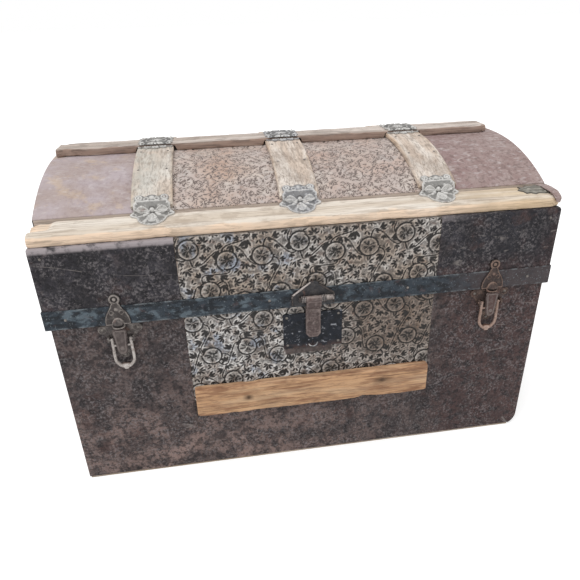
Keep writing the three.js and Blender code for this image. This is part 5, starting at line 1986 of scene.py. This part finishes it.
@dataclass(frozen=True)
class Latches:
    """Bell-shaped catches with their hoods, ringed lobes and smooth wire loops of the two draw latches."""

    looks: Looks
    centres: Point = LATCH_CENTRES
    catch_face: float = -251.8
    foot: float = 289.4
    neck: float = 322.5
    ring_z: float = 330.5
    hood_foot: float = 286.0
    hood_half: float = 9.5
    hood_rise: float = 16.0
    hood_out: float = 8.4
    base_face: float = -248.9
    pivot_y: float = -254.5
    tongue_face: float = -258.4
    pivot_z: float = 266.0
    crossbar_z: float = 256.0
    loop_half: float = 13.2
    wire: float = 2.4
    reach: float = 52.0
    lobe: float = 25.0
    lobe_z: float = 280.5

    def catch_relief(self, u: Array, v: Array, edge: Array) -> Array:
        """Draws the bell's beaded rim, its ringed rivet, scrolls and bulging hood.

        Args:
            u: Place on the sheet, across.
            v: Height on the trunk.
            edge: Distance from the outline.

        Returns:
            Level at each place.
        """
        level = 1.1 + 0.4 * smooth(0, 1.0, edge) + 1.0 * smooth(0.5, 1.1, edge) * smooth(2.4, 1.6, edge)
        level += (
            ring(u, v, 0, self.ring_z, 5.6, 0.9, 1.1) + boss(u, v, 0, self.ring_z, 2.7, 1.9)
            - 0.6 * ring(u, v, 0, self.ring_z, 3.9, 1.0, 0.8)
        )
        level += ring(abs(u), v, 7.0, 309.5, 3.0, 0.8, 0.9) + boss(u, v, 0, 314.5, 3.0, 1.0)
        above = np.maximum(v - self.hood_foot - 2.5, 0) / (self.hood_rise - 2.5)
        share = np.clip(1 - (u / self.hood_half) ** 2 - above**2, 0, 1)
        hood = self.hood_out * np.sqrt(share) - 0.5 * smooth(0.4, 0.0, share) * (share > 0)
        return np.maximum(np.maximum(level, 0.5), hood) * (1 - 0.45 * self.mouth(u, v))

    def mouth(self, u: Array, v: Array) -> Array:
        """Returns where the hood's slit is, 1 in its middle."""
        line = self.hood_foot + 3.0 + 1.6 * (u / self.hood_half) ** 2
        return smooth(1.7, 1.1, abs(v - line)) * smooth(self.hood_half - 0.6, self.hood_half - 2.0, abs(u))

    def catch_outline(self) -> list[Point]:
        """Draws the bell's outline.

        Returns:
            Corners as (u, height).
        """
        half = [
            (0, self.hood_foot), (5, self.hood_foot), (self.hood_half, self.hood_foot + 0.4),
            (self.hood_half + 0.2, self.foot), (18, self.foot),
        ]
        half += [(18, 296), (17, 302), (14.6, 308), (11.2, 313.5), (8.2, 318), (6.9, self.neck)]
        return mirrored(half + circle_points(0, self.ring_z, 8.4, -50, 90, 12))

    def finish(self, side: str) -> Material:
        """Returns the iron of one side's latch."""
        return self.looks.grey_latch if side == "left" else self.looks.latch

    def wire_finish(self, side: str) -> Material:
        """Returns the steel of one side's loop."""
        return self.looks.steel if side == "left" else self.looks.rusty_steel

    @staticmethod
    def hollow(level: Array) -> Array:
        """Returns the inner level of the catch, hollow under its hood."""
        return np.maximum(level - 1.5, 0) * (level > 2.6)

    def catch(self, side: str, x: float) -> None:
        """Stamps one catch, hollows its hood, and stores painted light and shade on the hood and in its slit.

        Args:
            side: Left or right.
            x: Middle of the latch.
        """
        points, triangles, distance = fill_outline(self.catch_outline(), 0.75)
        u, v = points.T
        level = self.catch_relief(u, v, distance)
        place = facing_front(x, self.catch_face, 0.0)
        solid = closed_sheet(place(u, v, level), place(u, v, self.hollow(level)), triangles)
        # Painted light and shade on the hood, so that it reads as a bulge: lighter flanks and lower lip, a darker
        # crown, and painted shade in its slit.
        painted_hood_shading = 0.4 + 0.5 * smooth(5.0, 3.6, level) + 0.6 * smooth(self.hood_foot + 1.6, self.hood_foot + 1.1, v)
        tone = np.clip(np.where(level > 3.0, painted_hood_shading, (level - 1.1) / 1.6), LEAST_TONE, 1) * (1 - 0.97 * self.mouth(u, v))
        obj = make_object(
            f"latch_catch_{side}_iron", *solid, self.finish(side), "lid", STAMP_SHARP, {"relief": np.tile(tone, 2)}
        )
        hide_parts(f"latch_catch_{side}")

    def lobes(self, side: str, x: float) -> None:
        """Stamps the rings on the base's lobes and its foot.

        Args:
            side: Left or right.
            x: Middle of the latch.
        """
        parts = []
        for du, z, size in ((-self.lobe, self.lobe_z, 5.6), (self.lobe, self.lobe_z, 5.6), (0, 237.0, 5.0)):
            turn = np.linspace(0, 2 * math.pi, 29)[:-1]
            for radius, wire in ((size, 0.8), (size - 2.4, 0.55)):
                loop = np.column_stack(
                    [x + du + radius * np.cos(turn), np.full(28, self.base_face - 0.1), z + radius * np.sin(turn)]
                )
                out = (loop - [x + du, self.base_face - 0.1, z]) / radius
                section = [
                    loop + wire * (math.cos(a) * out + math.sin(a) * np.array([0.0, -1.0, 0.0]))
                    for a in np.linspace(0, 2 * math.pi, 9)[:-1]
                ]
                grid = np.array(section).transpose(1, 0, 2)
                index = np.arange(28 * 8).reshape(28, 8)
                nxt, up = np.roll(index, -1, axis=0), np.roll(index, -1, axis=1)
                both = np.roll(nxt, -1, axis=1)
                faces = [tuple(f) for f in np.stack([index, nxt, both, up], axis=-1).reshape(-1, 4).tolist()]
                parts.append((grid.reshape(-1, 3), faces))
        vertices, faces = merged(*parts)
        obj = make_object(
            f"latch_lobe_rings_{side}", vertices, faces, self.finish(side), "body", STAMP_SHARP,
            {"relief": np.full(len(vertices), 0.6)},
        )

    def loop(self, side: str, x: float) -> None:
        """Sweeps one wire loop with its pivots, crossbar and pointed thumb piece.

        Args:
            side: Left or right.
            x: Middle of the latch.
        """
        belly = self.loop_half * 1.03
        shares = (
            (self.loop_half, 0.0), (self.loop_half, 0.3), (belly, 0.55), (belly * 0.92, 0.76),
            (self.loop_half * 0.5, 0.91),
        )
        right = [(u, self.pivot_z - s * (self.reach - self.wire)) for u, s in shares]
        knots = np.array(
            [*right, (0.0, self.pivot_z - self.reach + 2 * self.wire), *((-u, z) for u, z in reversed(right))]
        )
        chord = np.concatenate([[0], np.cumsum(np.sqrt(np.hypot(*np.diff(knots, axis=0).T)))])
        way = np.gradient(knots, chord, axis=0)
        path = []
        for k in range(len(knots) - 1):
            span = chord[k + 1] - chord[k]
            for t in np.linspace(0, 1, 9)[: 9 if k == len(knots) - 2 else 8]:
                h = (2 * t**3 - 3 * t**2 + 1, t**3 - 2 * t**2 + t, 3 * t**2 - 2 * t**3, t**3 - t**2)
                path.append(h[0] * knots[k] + h[1] * span * way[k] + h[2] * knots[k + 1] + h[3] * span * way[k + 1])
        path = np.array(path)
        wire = np.column_stack([x + path[:, 0], np.full(len(path), self.pivot_y), path[:, 1]])
        worn = self.wire - 0.12 + 0.12 * lattice_noise(wire, 5.0, 4)
        parts = [tube(wire, worn, 16), bar(x - self.loop_half, x + self.loop_half, self.pivot_y, self.crossbar_z, 1.5)]
        parts += [bar(x + s * self.loop_half, x + s * 19.3, self.pivot_y, self.pivot_z, 1.6) for s in (-1, 1)]
        for s in (-1, 1):
            eye = np.array(
                [[x + s * (self.loop_half + d), self.pivot_y, self.pivot_z] for d in (-2.4, -1.6, 0, 1.4, 2.0)]
            )
            parts.append(tube(eye, np.array([0.9, 2.1, 2.5, 2.3, 1.6])))
        vertices, faces = merged(*parts)
        obj = make_object(
            f"latch_loop_{side}", vertices, faces, self.wire_finish(side), f"bail_{side}", STAMP_SHARP,
            {"relief": np.full(len(vertices), 0.5)},
        )
        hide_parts(f"latch_bail_{side}")
        tip = self.pivot_z - self.reach
        outline = [
            (-6.5, tip + 9.5), (-3.2, tip + 0.4), (0, tip), (3.2, tip + 0.4), (6.5, tip + 9.5), (3.0, tip + 10.5),
            (-3.0, tip + 10.5),
        ]
        thumb = stamp(
            f"latch_thumb_piece_{side}", f"bail_{side}", outline, facing_front(x, self.pivot_y + 1.9, 0.0),
            self.thumb_relief, self.wire_finish(side), 0.9, (2.4, 4.6),
        )

    def thumb_relief(self, u: Array, v: Array, edge: Array) -> Array:
        """Returns the level of the loop's thumb piece, eased at its rim."""
        return 2.5 + 1.4 * smooth(0, 1.6, edge)

    def tongue_relief(self, u: Array, v: Array, edge: Array) -> Array:
        """Returns the level of the tongue's face: a rubbed rim and one rivet."""
        return 0.6 + 0.9 * smooth(0, 1.1, edge) - 0.5 * smooth(2.4, 3.4, edge) + boss(u, v, 0, 253.0, 3.2, 1.2)

    def tongue(self, side: str, x: float) -> None:
        """Stamps one tongue's face, tapered to its foot, on the CAD curl round the crossbar.

        Args:
            side: Left or right.
            x: Middle of the latch.
        """
        outline = mirrored([*circle_points(0, 250.2, 6.8, -90, 0, 7), (9.6, 281.6), (7.6, 283.8)])
        face = stamp(
            f"latch_tongue_{side}_face", f"tongue_{side}", outline, facing_front(x, self.tongue_face, 0.0),
            self.tongue_relief, self.looks.tongue, 0.9, (0.4, 1.7),
        )

    def build(self) -> None:
        """Builds both latches."""
        for side, x in zip(("left", "right"), self.centres):
            self.tongue(side, x)
            self.catch(side, x)
            self.lobes(side, x)
            self.loop(side, x)


# ---------------------------------------------------------------------------------------------
# Nails, rivets and stitches


@dataclass(frozen=True)
class Spot:
    """Where a nail sits, the way its head faces, and the head's radius."""

    place: Place
    facing: Place
    radius: float


def scatter_tree() -> Tree:
    """Builds the tree that puts a domed head on every point, along the point's facing vector.

    Returns:
        The tree.
    """
    kinds = {
        "Height": "NodeSocketFloat", "Spread": "NodeSocketFloat", "Seed": "NodeSocketInt",
        "Material": "NodeSocketMaterial",
    }
    tree, start = new_tree("domed_heads", kinds)
    given = start.outputs
    points = add_node(tree, "GeometryNodeMeshToPoints", {0: given["Geometry"]})
    ball = add_node(tree, "GeometryNodeMeshUVSphere", {"Segments": 12, "Rings": 6, "Radius": 1.0})
    size = add_node(tree, "ShaderNodeCombineXYZ", {0: 1.0, 1: 1.0, 2: given["Height"]})
    head = add_node(tree, "GeometryNodeTransform", {"Geometry": ball.outputs[0], "Scale": size.outputs[0]})
    facing = add_node(tree, "GeometryNodeInputNamedAttribute", {"Name": "facing"}, data_type="FLOAT_VECTOR")
    radius = add_node(tree, "GeometryNodeInputNamedAttribute", {"Name": "head_radius"}, data_type="FLOAT")
    turn = add_node(tree, "FunctionNodeAlignRotationToVector", {"Vector": facing.outputs[0]}, axis="Z")
    low = add_node(tree, "ShaderNodeMath", {0: 1.0, 1: given["Spread"]}, operation="SUBTRACT")
    vary = add_node(
        tree, "FunctionNodeRandomValue", {2: low.outputs[0], 3: 1.0, "Seed": given["Seed"]}, data_type="FLOAT"
    )
    scale = add_node(tree, "ShaderNodeMath", {0: radius.outputs[0], 1: vary.outputs[1]}, operation="MULTIPLY")
    placed = {
        "Points": points.outputs[0], "Instance": head.outputs[0], "Rotation": turn.outputs[0], "Scale": scale.outputs[0]
    }
    heads = add_node(tree, "GeometryNodeInstanceOnPoints", placed)
    finish_tree(tree, heads.outputs[0], given["Material"])
    return tree


def scatter(name: str, body: str, spots: Sequence[Spot], height: float, material: Material) -> None:
    """Makes one piece of domed heads on one body.

    Args:
        name: Piece name.
        body: Body that it rides on.
        spots: Where the heads are.
        height: Head's height as a share of its radius.
        material: Finish.
    """
    places = np.array([s.place for s in spots])
    stored = {"facing": np.array([s.facing for s in spots]), "head_radius": np.array([s.radius * MM for s in spots])}
    values = {"Height": height, "Spread": 0.15, "Seed": len(spots), "Material": material}
    vertices, faces = run_nodes(scatter_tree(), places, values, stored)
    obj = make_object(name, vertices, faces, material, body, STAMP_SHARP, {"relief": np.full(len(vertices), 0.5)})


@dataclass(frozen=True)
class Nails:
    """Nails in the slats and rivets of the fittings."""

    looks: Looks
    band_face: float = -251.4
    body_face: float = -246.9
    lock_face: float = -248.8
    hoop_face: float = 8.2
    hinge: float = 232.0

    def lid_spots(self) -> list[Spot]:
        """Lists the heads on the lid.

        Returns:
            Their places.
        """
        up, front, back = (0.0, 0.0, 1.0), (0.0, -1.0, 0.0), (0.0, 1.0, 0.0)
        spots = []
        for c, dx, y in product(HOOP_CENTRES, (-21, 21), (-52, 52, -120, 120)):
            spots.append(Spot((c + dx, y, float(dome_height(y)) + self.hoop_face), (0, math.copysign(0.3, y), 1), 2.2))
        spots += [Spot((c + dx, 210.0, 430.9), up, 2.4) for c, dx in product(HOOP_CENTRES, (-18, 18))]
        spots += [Spot((x, self.band_face, 304.0), front, 2.3) for x in (-352, -62, 150, 345)]
        spots += [Spot((x, -249.9, 398.0), front, 2.2) for x in (-366, 366)]
        for hinge, dx, z in product((-self.hinge, self.hinge), (-18, 18), (305, 325)):
            spots.append(Spot((hinge + dx, 252.5, z), back, 2.6))
        for sign, y in product((-1.0, 1.0), (-220, -110, 0, 110, 220)):
            spots.append(Spot((sign * 382.4, y, 304.0), (sign, 0, 0), 2.3))
        return spots

    def body_spots(self) -> list[Spot]:
        """Lists the heads on the body.

        Returns:
            Their places.
        """
        front, back = (0.0, -1.0, 0.0), (0.0, 1.0, 0.0)
        spots = [Spot((x, self.lock_face, z), front, 2.3) for x, z in product((-37, 43), (270, 221))]
        spots += [Spot((x, self.lock_face, 236.5), front, 2.6) for x in LATCH_CENTRES]
        spots += [Spot((x + dx, self.lock_face, 280.5), front, 2.6) for x, dx in product(LATCH_CENTRES, (-25, 25))]
        for sign, y, dy, dz in product((-1.0, 1.0), (-103, 103), (-8, 8), (-20.5, 20.5)):
            spots.append(Spot((sign * 378.2, y + dy, 196.0 + dz), (sign, 0, 0), 2.2))
        for hinge, dx, z in product((-self.hinge, self.hinge), (-18, 18), (254, 272)):
            spots.append(Spot((hinge + dx, 249.5, z), back, 2.6))
        spots += [Spot((x, self.body_face, z), front, 1.8) for x, z in product((-371, 371), (40, 120, 200))]
        return spots

    def build(self) -> None:
        """Scatters the heads, one piece for each body."""
        scatter("lid_nail_heads", "lid", self.lid_spots(), 0.55, self.looks.nail)
        scatter("body_nail_heads", "body", self.body_spots(), 0.55, self.looks.nail)


@dataclass(frozen=True)
class Handles:
    """Stitched leather handles that replace the plain CAD straps."""

    looks: Looks
    level: float = 196.0
    width: float = 26.0
    thickness: float = 5.0
    half_length: float = 116.0
    arch_half: float = 86.0
    rise: float = 34.0
    inner: float = 376.6
    seam: float = 3.2
    stitch_pitch: float = 4.2

    def offset(self, y: Array) -> Array:
        """Returns how far the strap arches from the trunk's end at depth y."""
        return self.rise * (1 + np.cos(np.pi * np.minimum(abs(y) / self.arch_half, 1))) / 2

    def build(self) -> None:
        """Builds both handles and their stitching."""
        half, thick = self.width / 2, self.thickness
        section, weight = rounded_section(
            ((-half, 0), (half, 0), (half, thick), (-half, thick)), (1.2, 1.2, 2.0, 2.0), 1.4
        )
        ys = np.linspace(-self.half_length, self.half_length, 130)
        stitches = []
        for sign, side in ((-1, "left"), (1, "right")):
            rings = []
            for y in ys:
                spots = np.column_stack([np.full(len(section), y), section])
                crease = 0.35 * np.clip(lattice_noise(spots, 5.0, 31), -1, 0.3) * weight
                outside = section[:, 1] > thick * 0.7
                groove = 0.5 * smooth(1.3, 0.6, abs(abs(section[:, 0]) - (half - self.seam))) * outside
                swell = 0.35 * smooth(100, 40, abs(y)) * outside * smooth(half - self.seam, 3, abs(section[:, 0]))
                out = self.inner + float(self.offset(y)) + section[:, 1] + crease - groove + swell - 0.35
                tip = smooth(self.half_length - 9, self.half_length, np.array([abs(y)]))[0]
                level = self.level + section[:, 0] * (1 - 0.45 * tip**2)
                rings.append(np.column_stack([sign * out, np.full(len(section), y), level]))
            vertices, faces = loft(np.array(rings))
            strap = make_object(f"leather_handle_{side}", vertices, faces, self.looks.leather, "body", STAMP_SHARP)
            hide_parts(f"handle_strap_{side}")
            for y in np.arange(-self.arch_half, self.arch_half + 0.1, self.stitch_pitch):
                for edge in (-1, 1):
                    out = self.inner + float(self.offset(y)) + thick - 0.65
                    slope = float(self.offset(y + 0.5) - self.offset(y - 0.5))
                    place = (sign * out, y, self.level + edge * (half - self.seam))
                    stitches.append(Spot(place, (sign * slope, 1.0, 0.0), 0.55))
        scatter("handle_stitches", "body", stitches, 2.6, self.looks.thread)


class Stage:
    """Floor, sky, lamp and camera, none of which belongs to the trunk."""

    sky_strength = 0.8
    sun_strength = 1.3
    sun_angle = 45.0
    sun_from = (-0.5, -0.42, 1.3)
    floor_glow = 0.42
    lens = 33.338
    sensor = 36.0
    eye = (-127.247, -948.935, 676.813)
    yaw = 0.136998
    pitch = 0.470516
    roll = -0.031129

    def floor(self) -> None:
        """Lays a pale floor that the camera sees as white and that keeps the shadow."""
        material = bpy.data.materials.new("pale_studio_floor")
        material.use_nodes = True
        tree = material.node_tree
        tree.nodes.clear()
        diffuse = add_node(tree, "ShaderNodeBsdfDiffuse", {"Color": linear("#e6e6e6")})
        glow = add_node(tree, "ShaderNodeEmission", {"Strength": self.seen(tree, self.floor_glow)})
        both = add_node(tree, "ShaderNodeAddShader", {0: diffuse.outputs[0], 1: glow.outputs[0]})
        add_node(tree, "ShaderNodeOutputMaterial", {"Surface": both.outputs[0]})
        mesh = bpy.data.meshes.new("studio_floor")
        mesh.from_pydata([(-60, -60, 0), (60, -60, 0), (60, 60, 0), (-60, 60, 0)], [], [(0, 1, 2, 3)])
        mesh.materials.append(material)
        floor = bpy.data.objects.new("studio_floor", mesh)
        bpy.context.scene.collection.objects.link(floor)

    @staticmethod
    def seen(tree: Tree, amount: float) -> Socket:
        """Shows an amount to camera, glossy and transmission rays only.

        Args:
            tree: Tree that takes the nodes.
            amount: The amount.

        Returns:
            The socket.
        """
        path = add_node(tree, "ShaderNodeLightPath")
        total = path.outputs["Is Camera Ray"]
        for ray in ("Is Glossy Ray", "Is Transmission Ray"):
            total = add_node(tree, "ShaderNodeMath", {0: total, 1: path.outputs[ray]}, operation="MAXIMUM").outputs[0]
        return add_node(tree, "ShaderNodeMath", {0: total, 1: amount}, operation="MULTIPLY").outputs[0]

    def sky(self) -> None:
        """Sets an even white sky, at full white only where it is seen."""
        world = bpy.data.worlds.new("studio_sky")
        world.use_nodes = True
        tree = world.node_tree
        tree.nodes.clear()
        light = add_node(tree, "ShaderNodeBackground", {"Color": linear("#ffffff"), "Strength": self.sky_strength})
        seen = add_node(tree, "ShaderNodeBackground", {"Color": linear("#ffffff"), "Strength": 1.0})
        mix = add_node(tree, "ShaderNodeMixShader", {0: self.seen(tree, 1.0), 1: light.outputs[0], 2: seen.outputs[0]})
        add_node(tree, "ShaderNodeOutputWorld", {"Surface": mix.outputs[0]})
        bpy.context.scene.world = world

    def sun(self) -> None:
        """Adds a broad soft lamp from the upper left front."""
        lamp = bpy.data.lights.new("soft_key", "SUN")
        lamp.energy = self.sun_strength
        lamp.angle = math.radians(self.sun_angle)
        key = bpy.data.objects.new("soft_key", lamp)
        key.rotation_euler = Vector(self.sun_from).to_track_quat("Z", "Y").to_euler()
        bpy.context.scene.collection.objects.link(key)

    def camera(self) -> None:
        """Places the camera at the photograph's viewing angle."""
        forward = Vector(
            (
                math.sin(self.yaw) * math.cos(self.pitch), math.cos(self.yaw) * math.cos(self.pitch),
                -math.sin(self.pitch),
            )
        )
        right = Vector((math.cos(self.yaw), -math.sin(self.yaw), 0))
        up = right.cross(forward)
        across = right * math.cos(self.roll) + up * math.sin(self.roll)
        above = up * math.cos(self.roll) - right * math.sin(self.roll)
        turn = Matrix((across, above, -forward)).transposed().to_4x4()
        data = bpy.data.cameras.new("photo_camera")
        data.lens = self.lens
        data.sensor_width = self.sensor
        camera = bpy.data.objects.new("photo_camera", data)
        camera.matrix_world = Matrix.Translation(Vector(self.eye) * MM) @ turn
        bpy.context.scene.collection.objects.link(camera)
        bpy.context.scene.camera = camera

    def build(self) -> None:
        """Sets up the whole stage."""
        self.floor()
        self.sky()
        self.sun()
        self.camera()
        bpy.context.scene.view_settings.view_transform = "Standard"


def main() -> None:
    """Builds and dresses the trunk piece by piece, then sets the stage."""
    logging.basicConfig(level=logging.INFO, format="%(message)s")
    looks = Looks()
    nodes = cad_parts
    dress(
        looks.pine, "lid_front_rail", "lid_back_rail", "lid_end_left", "lid_end_right",
        *(n for n in nodes if "board" in n),
    )
    dress(looks.deck, "lid_deck")
    dress(looks.tin, *(n for n in nodes if n.startswith(("body_tin", "lid_tin"))))
    dress(looks.dome_tin, "dome_tin_left", "dome_tin_right")
    dress(looks.band, "lid_band")
    dress(looks.clamp, *(n for n in nodes if "clamp" in n))
    dress(looks.hasp, "hasp", "latch_tongue_left", "latch_tongue_right")
    dress(looks.mount, "hasp_mount")
    dress(looks.latch, *(n for n in nodes if n.startswith(("latch_base", "hinge_leaf", "handle_loop"))))
    dress(looks.grey_latch, "latch_base_left")
    dress(looks.foot, "bottom_board")
    dress(
        looks.steel, "hasp_pin", "hinge_pin_left", "hinge_pin_right", "latch_bail_left", "latch_bail_right", "lock_bolt"
    )
    dress(looks.lock, "lock_case")
    dress(looks.leather, "handle_strap_left", "handle_strap_right")
    EmbossedPanels(looks).build()
    Slats(looks).build()
    Hoops(looks).build()
    Clamps(looks).build()
    Lock(looks).build()
    Latches(looks).build()
    Nails(looks).build()
    Handles(looks).build()
    Stage().build()


if __name__ == "__main__":
    main()
